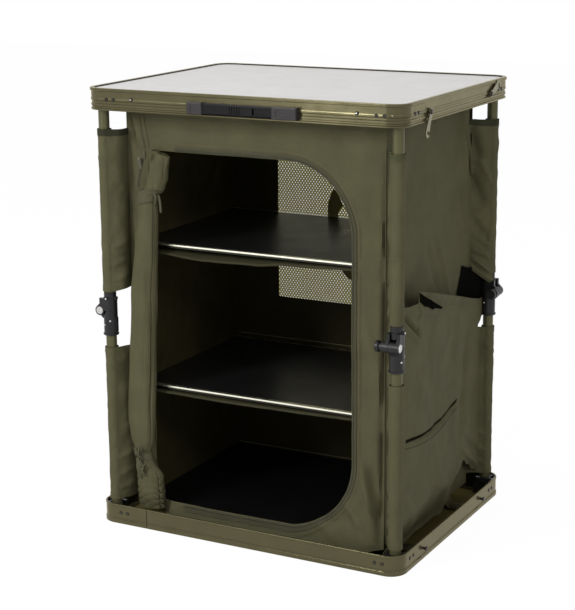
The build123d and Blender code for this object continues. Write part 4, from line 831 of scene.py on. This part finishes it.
zip_tape_finish = cloth_finish("zip tape", ZIP_OLIVE, cloud=0.05)
zip_coil_finish = hard_finish("zip coil", COIL_OLIVE, 0.35, 0.0006, 0.00002)
light_thread = hard_finish("light thread", LIGHT_THREAD, 0.6, 0.0004, 0.00003, specular=0.3)
thread_finish = hard_finish("sewing thread", THREAD_OLIVE, 0.6, 0.0004, 0.00003, specular=0.3)
dark_thread = hard_finish("dark thread", DARK_THREAD, 0.6, 0.0004, 0.00003, specular=0.2)


def door_line(offset, left_end=ZIP_END):
    """Points along the opening's free edge, moved outwards by offset, from the top left to the foot."""
    points = [(left_end, DOOR[3] + offset)]
    for centre_z, first in ((DOOR[3] - DOOR_CORNER, math.pi / 2), (DOOR[2] + DOOR_CORNER, 0.0)):
        for k in range(29):
            angle = first - math.pi / 2 * k / 28
            points.append((DOOR[1] - DOOR_CORNER + (DOOR_CORNER + offset) * math.cos(angle),
                           centre_z + (DOOR_CORNER + offset) * math.sin(angle)))
    return points + [(left_end, DOOR[2] - offset)]


def evenly(points, pitch):
    """Walks along a line of points and gives a place and a heading at every pitch."""
    places, carried = [], 0.0
    for start, end in zip(points, points[1:]):
        start, end = Vector(start), Vector(end)
        run = (end - start).length
        if run < 1e-9:
            continue
        heading = (end - start) / run
        at = pitch - carried if carried else 0.0
        while at < run:
            places.append((start + heading * at, heading))
            at += pitch
        carried = (run - (at - pitch)) % pitch
    return places


def sewn_row(name, line, finish, size=STITCH, pitch=STITCH_PITCH):
    """A row of like beads along a line, each turned along it: the stitches of a seam, or a zip's teeth."""
    bpy.ops.object.select_all(action="DESELECT")
    bpy.ops.mesh.primitive_uv_sphere_add(segments=6, ring_count=4, radius=1.0)
    bead = bpy.context.object
    corners = [v.co * Vector(size) for v in bead.data.vertices]
    faces = [tuple(f.vertices) for f in bead.data.polygons]
    bpy.data.objects.remove(bead)
    points, cells = [], []
    for place, heading in evenly(line, pitch):
        turn, first = heading.to_track_quat("X", "Y").to_matrix(), len(points)
        points += [place + turn @ corner for corner in corners]
        cells += [tuple(first + k for k in face) for face in faces]
    mesh = bpy.data.meshes.new(name)
    mesh.from_pydata(points, [], cells)
    piece = bpy.data.objects.new(name, mesh)
    bpy.context.scene.collection.objects.link(piece)
    mesh.materials.append(finish)
    mesh.shade_smooth()
    cupboard_piece(piece)


def on_front(points, proud):
    """Puts points given on the front wall just proud of its cloth."""
    return [front_cloth(x, z, 0.0) + Vector((0, -proud, 0)) for x, z in points]


tape_points, tape_uvs = [], []
tape_runs = fine([inner + outer for inner, outer in zip(door_line(0.0012), door_line(ZIP_TAPE))])[:-1]
for k, (inner_x, inner_z, outer_x, outer_z) in enumerate(tape_runs):
    for t in (0.0, 0.25, 0.5, 0.75, 1.0):
        x, z = inner_x + (outer_x - inner_x) * t, inner_z + (outer_z - inner_z) * t
        tape_points += on_front([(x, z)], 0.0010 + 0.0005 * math.sin(math.pi * t))
        tape_uvs.append((k * 0.006, t * ZIP_TAPE))
tape_cells = [(k + 5, k + 6, k + 1, k) for k in range(len(tape_points) - 5) if k % 5 < 4]
zip_tape = cloth_mesh("door_zip_tape", tape_points, tape_cells, tape_uvs, outer=zip_tape_finish,
                      thickness=0.0007)
cupboard_piece(zip_tape, "door_zip")
sewn_row("door_zip_teeth", on_front(fine(door_line(0.0030)), 0.0022), zip_coil_finish, TOOTH, TOOTH_PITCH)
sewn_row("door_zip_stitches", on_front(fine(door_line(ZIP_TAPE - 0.0012)), 0.0018), thread_finish)
sewn_row("door_facing_stitches", on_front(fine(door_line(FACING - 0.0015, -0.185)), 0.0005), thread_finish)
for count, x in enumerate((-0.2195, -0.2105)):
    sewn_row(f"door_end_stitches_{count + 1}", on_front(fine([(x, 0.740), (x + 0.0085, 0.684)]), 0.0005),
             dark_thread, BOLD_STITCH)
# Light seams that join the lower shelf and the floor to the rear wall
for name, height in (("lower_shelf", 0.2635), ("floor", 0.0345)):
    sewn_row(f"{name}_rear_stitches", [(-0.24, 0.1825, height), (0.24, 0.1825, height)], light_thread,
             (0.0015, 0.0006, 0.0008))

# Rolled door: the door panel itself, sewn to the opening's left edge and rolled up from its free edge into a
# spiral of about five turns. It is drawn in by two ties, and its corners splay out above and below them.
DOOR_WIDTH, DOOR_HEIGHT = DOOR[1] - DOOR[0], 0.654
ROLL_CORE, ROLL_TURNS, ROLL_END = 0.0022, 5.3, 1.35
# Middle of the roll, its half width and its half depth, by height
ROLL_MIDDLE = metres([(30, -208.5), (60, -209), (91, -210), (119, -222.5), (135, -225.5), (160, -224),
    (193, -223), (300, -218), (417, -212), (520, -204), (570, -199), (601, -198.5), (609, -196.5),
    (619, -184.5), (630, -180), (650, -175.5), (684, -173.5)])
ROLL_HALF_WIDTH = metres([(30, 26.5), (60, 28.5), (91, 28.5), (112, 20), (124, 16.5), (135, 17), (160, 25.5),
    (193, 29), (300, 28.5), (417, 27), (520, 23.5), (570, 20), (601, 16.8), (609, 16.5), (619, 15),
    (630, 16.5), (650, 19), (684, 17.5)])
ROLL_HALF_DEPTH = metres([(30, 11.5), (60, 14.5), (91, 14.5), (112, 12), (135, 11.5), (193, 15), (300, 15.5),
    (450, 15.5), (560, 14.5), (600, 12.5), (630, 14.5), (660, 13), (684, 7.5)])
# Share of the grid's rows given to each stretch of height: the two gathered ends take most of them
ROLL_ROWS = [(0.0, 0.030), (0.30, 0.100), (0.42, 0.145), (0.72, 0.590), (1.0, 0.684)]
# Shares of the grid's columns for the hidden inner turns and for the spiral as a whole
INNER_SHARE, SPIRAL_SHARE = 0.30, 0.90
GATHER_PITCH, GATHER_HEAD, SPLAY_FOOT = 0.0230, 0.100, 0.600
# Creases down the roll: way round it in radians, half width and depth
ROLL_CREASES = [(-2.30, 0.07, 0.09), (-1.78, 0.05, 0.06), (-1.22, 0.06, 0.05), (-0.70, 0.08, 0.04)]


def roll_surface(angle, z, share=1.0):
    """A point of the roll at a way round it and a height; share is how far out from its core."""
    middle = eased(ROLL_MIDDLE, z)
    half_width, half_depth = eased(ROLL_HALF_WIDTH, z), eased(ROLL_HALF_DEPTH, z)
    swell = 1.0 + billow(math.cos(angle) * 0.6, z * 4.0 + 0.3 * math.sin(angle), 0.55, 0.13, 61.0)
    swell += billow(math.cos(angle) * 1.5, z * 9.0 + math.sin(angle), 0.8, 0.07, 63.0)
    for way_round, width, depth in ROLL_CREASES:
        off = (angle - way_round - 0.35 * math.sin(z * 5.0 + way_round) + math.pi) % (2 * math.pi) - math.pi
        swell -= depth * math.exp(-(off / width) ** 2) * (0.55 + 0.45 * math.sin(z * 17.0 + 3.0 * way_round))
    if z < GATHER_HEAD:
        wander = 0.004 * math.cos(angle) + 0.006 * math.sin(1.7 * angle + z * 40.0)
        gathers = math.sin(2 * math.pi * (z - wander) / GATHER_PITCH)
        swell += (0.04 - 0.12 * abs(gathers) ** 6) * min((GATHER_HEAD - z) / 0.05, 1.0)
    if z > SPLAY_FOOT:
        above, slant = min((z - SPLAY_FOOT) / 0.03, 1.0), angle % (2 * math.pi)
        swell += above * 0.10 * math.exp(-((slant - 5.2 + (z - 0.65) * 9.0) / 0.28) ** 2)
        swell -= above * 0.12 * math.exp(-((slant - 4.7 + (z - 0.65) * 14.0) / 0.20) ** 2)
        swell = min(swell, 1.05)
        z -= 0.011 * above * (1.0 + math.cos(angle)) / 2
    return Vector((middle + half_width * share * swell * math.cos(angle),
                   FRONT_WALL - 0.0024 - half_depth * (1.03 - share * min(swell, 1.06) * math.sin(angle)), z))


def roll_height(v):
    for (low, foot), (high, head) in zip(ROLL_ROWS, ROLL_ROWS[1:]):
        if v <= high:
            return foot + (head - foot) * (v - low) / (high - low)
    return ROLL_ROWS[-1][1]


def rolled_cloth(u, v):
    z = roll_height(v)
    if u <= SPIRAL_SHARE:
        core = ROLL_CORE / eased(ROLL_HALF_WIDTH, z)
        last_turn = 1 - (1 - core) / ROLL_TURNS
        if u <= INNER_SHARE:
            growth = core + (last_turn - core) * u / INNER_SHARE
        else:
            growth = last_turn + (1 - last_turn) * (u - INNER_SHARE) / (SPIRAL_SHARE - INNER_SHARE)
        angle = -2 * math.pi * ROLL_TURNS * (growth - core) / (1 - core) + ROLL_END
        return roll_surface(angle, z, growth)
    t = (u - SPIRAL_SHARE) / (1 - SPIRAL_SHARE)
    last = roll_surface(-2 * math.pi * ROLL_TURNS + ROLL_END, z)
    sewn = Vector((DOOR[0] - 0.001 - strip_pull(z), FRONT_WALL - 0.0020, z))
    return last.lerp(sewn, t * t * (3 - 2 * t))


rolled = cloth_grid("rolled_up_door", DOOR_WIDTH, DOOR_HEIGHT, 190, 140, rolled_cloth, thickness=0.0007)
cupboard_piece(rolled, "rolled_door")

# Door ties: flat webbing loops sewn to the front wall, closed round the roll. The upper one leaves a free
# end beside the roll, the lower one is knotted with its ends hanging over the bundle.
WEBBING_OLIVE, TIE_LENGTH = (0.088, 0.084, 0.050), 0.11
# Name, height, width and slope of each tie
TIES = [("upper", 0.606, 0.026, 0.0045), ("lower", 0.130, 0.014, -0.003)]
# Name, width, twist in radians and line of each free end and of each strand of the knot, in millimetres
TIE_ENDS = [
    ("upper_tie_end", 5.5, 0.5, [(-177.5, -205, 609), (-170, -208.5, 606), (-167.2, -209, 594),
                                 (-166.8, -208.5, 578)]),
    ("upper_tie_loop", 4.5, 0.9, [(-179, -209, 612), (-174, -212, 603), (-176.5, -211.5, 592)]),
    ("lower_tie_knot_1", 3, 0, [(-233, -212.5, 143), (-223.5, -218, 133.5), (-213, -215, 124)]),
    ("lower_tie_knot_2", 3, 0, [(-232, -212.5, 123.5), (-223, -218.6, 134), (-212.5, -215, 144)]),
    ("lower_tie_knot_3", 3, 0, [(-222.2, -215, 148), (-222.6, -219, 133), (-224, -215, 119)]),
    ("lower_tie_knot_4", 3, 0, [(-218, -216.5, 118), (-212, -220, 108), (-216, -220, 98)]),
    ("lower_tie_knot_5", 3, 0, [(-210, -216.5, 116), (-215, -220.5, 107), (-209, -220, 96)]),
    ("lower_tie_end_1", 5.5, 0.7, [(-223, -214, 124), (-220, -219, 112), (-214, -219, 95)]),
    ("lower_tie_end_2", 5.5, -0.6, [(-226, -214, 124), (-224.5, -219, 110), (-220, -218, 88)]),
]

webbing = cloth_finish("tie webbing", WEBBING_OLIVE, cloud=0.05)
for name, height, width, slope in TIES:
    def round_roll(u, v):
        angle = 2 * math.pi * (u % 1.0)
        z = height + (v - 0.5) * width + slope * math.cos(angle)
        return roll_surface(angle, z, 1.05) + Vector((0.0010 * math.cos(angle), 0.0008 * math.sin(angle), 0))

    cupboard_piece(cloth_grid(f"{name}_door_tie", TIE_LENGTH, width, 48, 6, round_roll, closed=True,
                              outer=webbing, thickness=0.0009))


def webbing_end(name, points, width, twist, outer):
    """A free end of webbing along a short line of points."""
    line = [Vector(point) for point in points]

    def place(u, v):
        spot = v * (len(line) - 1)
        k = min(int(spot), len(line) - 2)
        way = Vector((math.cos(twist * v), -math.sin(twist * v), 0))
        return line[k].lerp(line[k + 1], spot - k) + way * (u - 0.5) * width

    cupboard_piece(cloth_grid(name, width, 0.04, 4, 16, place, outer=outer, inner=webbing, thickness=0.0010))


for name, width, twist, points in TIE_ENDS:
    webbing_end(name, metres(points), width / 1000.0, twist, binding_cloth if "knot" in name else webbing)

# Zip slider: a die-cast slider with a drop-shaped pull, parked at the upper end of the zip where it hangs
# with the last of the zip over the splayed corner of the roll.
SLIDER_PLACE, SLIDER_SIZE = Vector((-0.1905, -0.2195, 0.6790)), (0.0085, 0.0045, 0.0125)
SLIDER_OLIVE, SLIDER_INSET, SLIDER_RAISE, SLIDER_ROUND = (0.070, 0.066, 0.040), 0.0018, 0.0012, 0.0006
PULL_OFF, PULL_LEAN, PULL_FLATNESS = Vector((-0.0048, -0.0045, -0.0245)), -14, 0.42
PULL_STEPS = [(1.4, 0), (2.4, 0.6), (2.8, 6), (3.2, 13), (2.8, 17.5), (1.6, 19.5)]
ZIP_TAIL = metres([(-198.5, -215, 670), (-202, -214, 654), (-208, -211.5, 637), (-214, -207, 619)])

slider_metal = hard_finish("slider metal", SLIDER_OLIVE, 0.36, 0.0006, 0.00002, metal=0.4)
bpy.ops.object.select_all(action="DESELECT")
bpy.ops.mesh.primitive_cube_add(size=1.0, location=SLIDER_PLACE)
slider = bpy.context.object
slider.name = "zip_slider"
slider.scale = SLIDER_SIZE
bpy.ops.object.transform_apply(location=True, rotation=False, scale=True)
for face in slider.data.polygons:
    face.select = face.normal.z < -0.9
bpy.ops.object.mode_set(mode="EDIT")
bpy.ops.mesh.select_mode(type="FACE")
bpy.ops.transform.resize(value=(0.62, 0.70, 1.0))
bpy.ops.mesh.select_all(action="DESELECT")
bpy.ops.object.mode_set(mode="OBJECT")
for face in slider.data.polygons:
    face.select = face.normal.y < -0.9
bpy.ops.object.mode_set(mode="EDIT")
bpy.ops.mesh.inset(thickness=SLIDER_INSET)
bpy.ops.transform.translate(value=(0, -SLIDER_RAISE, 0))
bpy.ops.object.mode_set(mode="OBJECT")
soften = slider.modifiers.new("round", "BEVEL")
soften.width, soften.segments = SLIDER_ROUND, 2
bpy.ops.object.modifier_apply(modifier=soften.name)
bpy.ops.object.shade_smooth_by_angle(angle=math.radians(40))
slider.data.materials.append(slider_metal)
cupboard_piece(slider)

hanging = (Matrix.Translation(SLIDER_PLACE + PULL_OFF) @ Matrix.Rotation(math.radians(PULL_LEAN), 4, "Y")
           @ Matrix.Diagonal((1.0, PULL_FLATNESS, 1.0, 1.0)))
cupboard_piece(turned_part("zip_slider_pull", PULL_STEPS, 20, hanging, slider_metal))
webbing_end("zip_tail_tape", ZIP_TAIL, 0.0090, 0.3, zip_tape_finish)
sewn_row("zip_tail_teeth", [Vector(point) + Vector((0.0008, -0.0014, 0)) for point in ZIP_TAIL], dark_thread,
         (0.0011, 0.0030, 0.0010), 0.0040)

# Side pocket: a patch of the same cloth over the lower half of the right wall, drawn out to the two legs.
# Its hem falls back to the rear and gapes in two places; a flat slot pocket is let in low down.
POCKET_FRONT_Y, POCKET_BACK_Y, POCKET_HEIGHT = -0.1975, 0.2265, 0.39
POCKET_FRONT_X, POCKET_BACK_X, POCKET_FOOT_X, POCKET_LIMIT_X = 0.2835, 0.2655, 0.2520, 0.2925
POCKET_HEM_WIDTH, POCKET_HEM_STEP, SLOT_BINDING = 0.014, 0.0009, 0.0060
SLOT_BLACK, POCKET_SWELL = (0.012, 0.012, 0.006), ((0.080, 0.0060), (0.028, 0.0016))
# The slot: depth and half width of its groove, and height, place below it and half width of the lip
SLOT_GROOVE, SLOT_LIP = (0.0050, 0.0030), (0.0040, 0.008, 0.007)
# Foot of the panel by depth: in the tray behind the rail, then lifted over the strap towards the rear leg
POCKET_FOOT = metres([(-197.5, 13), (54, 12.5), (82, 64), (108, 76), (125, 96), (160, 78), (200, 56),
    (227, 40)])
# The rear edge is sewn to the sleeve and drawn in between the sleeve and the knee
POCKET_BACK = metres([(40, 207.5), (300, 206), (322, 204), (333.5, 186), (344, 200), (356, 215),
    (390, 226.5)])
POCKET_HEM = metres([(-197.5, 456), (-163.4, 449.8), (-126, 447), (-121.5, 466.5), (-39.6, 445.5),
    (41.7, 423.8), (99.5, 408.2), (138.2, 396.9), (167.8, 389.5), (192.9, 383.9), (212, 383.5), (226.5, 390)])
POCKET_FOLDS = metres([(-190, 441, -112, 386, 3.4, -10), (-190, 424, -122, 378, 5, 5.5),
    (-196, 447.5, -2, 403.5, 6, 4.8), (-126, 470, 10, 409, 6, -5), (-185, 330, -60, 260, 13, 3),
    (136, 370, 98, 130, 12, -6), (80, 395, 66, 170, 14, 3), (98, 118, 212, 50, 5.5, 8),
    (110, 140, 206, 84, 7, -4.5), (-190, 130, -110, 50, 10, 3), (-60, 110, 60, 60, 12, 3.5),
    (20, 418, 120, 380, 8, -3)])
SLOT_LINE = metres([(-180, 219), (-124.2, 210.2), (-59.6, 203.4), (-1.6, 205), (39.3, 213), (78, 218.5)])
# The line of stitches below the hem, by depth and height
HEM_LINE = metres([(-188, 446.3), (-118.4, 428.3), (-62.9, 413.8), (-5.3, 399.7), (41.7, 410), (99.5, 395.7),
    (167.8, 377), (198, 373)])


def straight_between(table, value):
    """Reads a value from a table of (place, value), in straight steps from one row to the next."""
    return float(np.interp(value, *zip(*table)))


def pocket_spot(u, z):
    """The panel's point at a share of its length and a height."""
    along = POCKET_FRONT_Y + (POCKET_BACK_Y - POCKET_FRONT_Y) * u
    y = POCKET_FRONT_Y + (eased(POCKET_BACK, z) - POCKET_FRONT_Y) * u
    out = eased([(0.0, POCKET_FRONT_X), (1.0, POCKET_BACK_X)], u)
    low = min(max((0.088 - z) / 0.066, 0.0), 1.0) * eased([(0.030, 1.0), (0.090, 0.35)], along)
    out -= (out - POCKET_FOOT_X) * low ** 1.3
    free = math.sin(math.pi * u) ** 0.4
    out += swell(y, z, *POCKET_SWELL, 71.0) * free + sum(crease(y, z, *fold) for fold in POCKET_FOLDS)
    if SLOT_LINE[0][0] < y < SLOT_LINE[-1][0]:
        off = z - straight_between(SLOT_LINE, y)
        ends = math.sin(math.pi * (y - SLOT_LINE[0][0]) / (SLOT_LINE[-1][0] - SLOT_LINE[0][0])) ** 0.35
        out += ends * SLOT_LIP[0] * math.exp(-((off + SLOT_LIP[1]) / SLOT_LIP[2]) ** 2)
        out -= ends * SLOT_GROOVE[0] * math.exp(-(off / SLOT_GROOVE[1]) ** 2)
    if straight_between(POCKET_HEM, along) - z < POCKET_HEM_WIDTH:
        out += POCKET_HEM_STEP
    return Vector((min(out, POCKET_LIMIT_X), y, z))


def pocket_cloth(u, v):
    along = POCKET_FRONT_Y + (POCKET_BACK_Y - POCKET_FRONT_Y) * u
    foot = eased(POCKET_FOOT, along)
    return pocket_spot(u, foot + v * (straight_between(POCKET_HEM, along) - foot))


def pocket_line(points, rise, proud):
    """Points given as depth and height, raised and put just proud of the pocket's panel."""
    return [pocket_spot((y - POCKET_FRONT_Y) / (eased(POCKET_BACK, z + rise) - POCKET_FRONT_Y), z + rise)
            + Vector((proud, 0, 0)) for y, z in points]


pocket_length = POCKET_BACK_Y - POCKET_FRONT_Y
pocket = cloth_grid("side_pocket_panel", pocket_length, POCKET_HEIGHT, 110, 120, pocket_cloth,
                    inner=cloth_back)
cupboard_piece(pocket, "side_pocket")

slot_points = fine([(y, straight_between(SLOT_LINE, y))
                    for y in np.linspace(SLOT_LINE[0][0] + 0.002, SLOT_LINE[-1][0] - 0.002, 40)])
sewn_row("pocket_slot_stitches", pocket_line(slot_points, -0.0095, 0.0006), dark_thread, BOLD_STITCH)
slot_finish = cloth_finish("slot binding", SLOT_BLACK, cloud=0.05, specular=0.0)
count = len(slot_points)
binding = cloth_mesh("pocket_slot_binding",
                     pocket_line(slot_points, 0.0, 0.0012) + pocket_line(slot_points, SLOT_BINDING, 0.0010),
                     [(k, k + 1, count + k + 1, count + k) for k in range(count - 1)],
                     [(k * 0.006, height) for height in (0.0, SLOT_BINDING) for k in range(count)],
                     outer=slot_finish, thickness=0.0006)
cupboard_piece(binding)
sewn_row("pocket_hem_stitches", pocket_line(fine(HEM_LINE), 0.0, 0.0004), thread_finish)

# Pocket lining: the pocket's second layer shows above the hem where it gapes beside the rear leg, near black
# with no gloss as painted shade of the pocket's inside. Near the front leg a near-black sheet laid on the
# panel is painted shade of a pleat.
LINING_PAINTED_SHADE, REAR_LINING_FOOT = (0.006, 0.006, 0.005), 0.366
# Foot and head of the painted shade of the pleat behind the front of the hem, and place and head of the rear
# one, by depth
PLEAT_FOOT = metres([(-122.5, 448), (-91.1, 434), (-63, 423.5), (-4.5, 412)])
PLEAT_HEAD = metres([(-122.5, 465.5), (-4.5, 413)])
REAR_X = metres([(118, 250.8), (180, 251.4), (205, 262), (226, 266.5)])
REAR_HEAD = metres([(118, 395), (121.5, 411.6), (133, 434.6), (139.9, 454.9), (155, 449.5), (172, 445),
    (184.5, 444), (205, 433), (226, 406)])

# Near black with no gloss: painted shade inside the pocket and under the pleat.
lining_shade_finish = cloth_finish("pocket lining in painted shade", LINING_PAINTED_SHADE, cloud=0.05, specular=0.0)


def front_pleat_shade(u, v):
    y = PLEAT_FOOT[0][0] + (PLEAT_FOOT[-1][0] - PLEAT_FOOT[0][0]) * u
    head = PLEAT_HEAD[0][1] + (PLEAT_HEAD[1][1] - PLEAT_HEAD[0][1]) * u
    foot = min(eased(PLEAT_FOOT, y), head)
    return pocket_line([(y, foot + (head - foot) * v)], 0.0, 0.0012)[0]


def rear_lining(u, v):
    y = REAR_HEAD[0][0] + (REAR_HEAD[-1][0] - REAR_HEAD[0][0]) * u
    return Vector((eased(REAR_X, y), y, REAR_LINING_FOOT + (eased(REAR_HEAD, y) - REAR_LINING_FOOT) * v))


for end, place, width, height in (("front", front_pleat_shade, 0.120, 0.010), ("rear", rear_lining, 0.118, 0.080)):
    lining = cloth_grid(f"pocket_shade_lining_{end}", width, height, 48, 12, place, outer=lining_shade_finish,
                        thickness=0.0006)
    cupboard_piece(lining)

# Tabletop: a pale grey laminated panel let into the lid's lip, smooth with a very faint print grain.
PANEL_GREY = (0.620, 0.612, 0.600)

laminate = hard_finish("pale laminate", PANEL_GREY, 0.40, 0.004, 0.00002, cloud=0.02, cloud_size=0.08)
dress(laminate, "tabletop")

# Seal: a black strip pressed into the gap between the panel and the lip all the way round, its outer edge
# rounded at the four corners like the lip.
SEAL_BLACK, SEAL_HALF_SIZE = (0.008, 0.008, 0.007), (0.29385, 0.22885)
SEAL_ROUND, SEAL_WIDTH, SEAL_FOOT, SEAL_HEIGHT = 0.0238, 0.0013, 0.7879, 0.0014

seal_rubber = hard_finish("black seal", SEAL_BLACK, 0.6, 0.0009, 0.00002, specular=0.2)
bpy.ops.object.select_all(action="DESELECT")
bpy.ops.mesh.primitive_plane_add(size=2.0, location=(0, 0, SEAL_FOOT))
seal = bpy.context.object
seal.name = "panel_seal"
seal.scale = (*SEAL_HALF_SIZE, 1)
bpy.ops.object.transform_apply(location=True, rotation=False, scale=True)
bpy.ops.object.mode_set(mode="EDIT")
bpy.ops.mesh.select_all(action="SELECT")
bpy.ops.mesh.bevel(offset=SEAL_ROUND, segments=10, affect="VERTICES")
bpy.ops.mesh.select_all(action="SELECT")
bpy.ops.mesh.inset(thickness=SEAL_WIDTH)
bpy.ops.mesh.delete(type="FACE")
bpy.ops.mesh.select_all(action="SELECT")
bpy.ops.mesh.extrude_region_move(TRANSFORM_OT_translate={"value": (0, 0, SEAL_HEIGHT)})
bpy.ops.mesh.select_all(action="SELECT")
bpy.ops.mesh.normals_make_consistent(inside=False)
bpy.ops.object.mode_set(mode="OBJECT")
bpy.ops.object.shade_smooth_by_angle(angle=math.radians(40))
seal.data.materials.append(seal_rubber)
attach(seal, "top")

# Carrying handle and latches: nylon end caps and grip on the lid's front rail, bronzed steel hooks on its
# sides that catch the studs of the closed tray.
GRIP_BLACK, CAP_BLACK, HOOK_BRONZE = (0.004, 0.004, 0.004), (0.024, 0.021, 0.021), (0.17, 0.155, 0.095)

grip_nylon = hard_finish("grip nylon", GRIP_BLACK, 0.34, NYLON_GRAIN, 0.00004, cloud_size=0.015,
                         specular=0.15)
cap_nylon = hard_finish("cap nylon", CAP_BLACK, 0.38, NYLON_GRAIN, 0.00004, cloud=0.12, cloud_size=0.015,
                        specular=0.3)
hook_steel = hard_finish("bronzed steel", HOOK_BRONZE, 0.30, 0.0009, 0.00001, metal=0.85)
dress(grip_nylon, "handle_grip")
dress(cap_nylon, "handle_end_caps")
dress(hook_steel, *(f"latch_hook_{corner}" for corner in CORNERS))
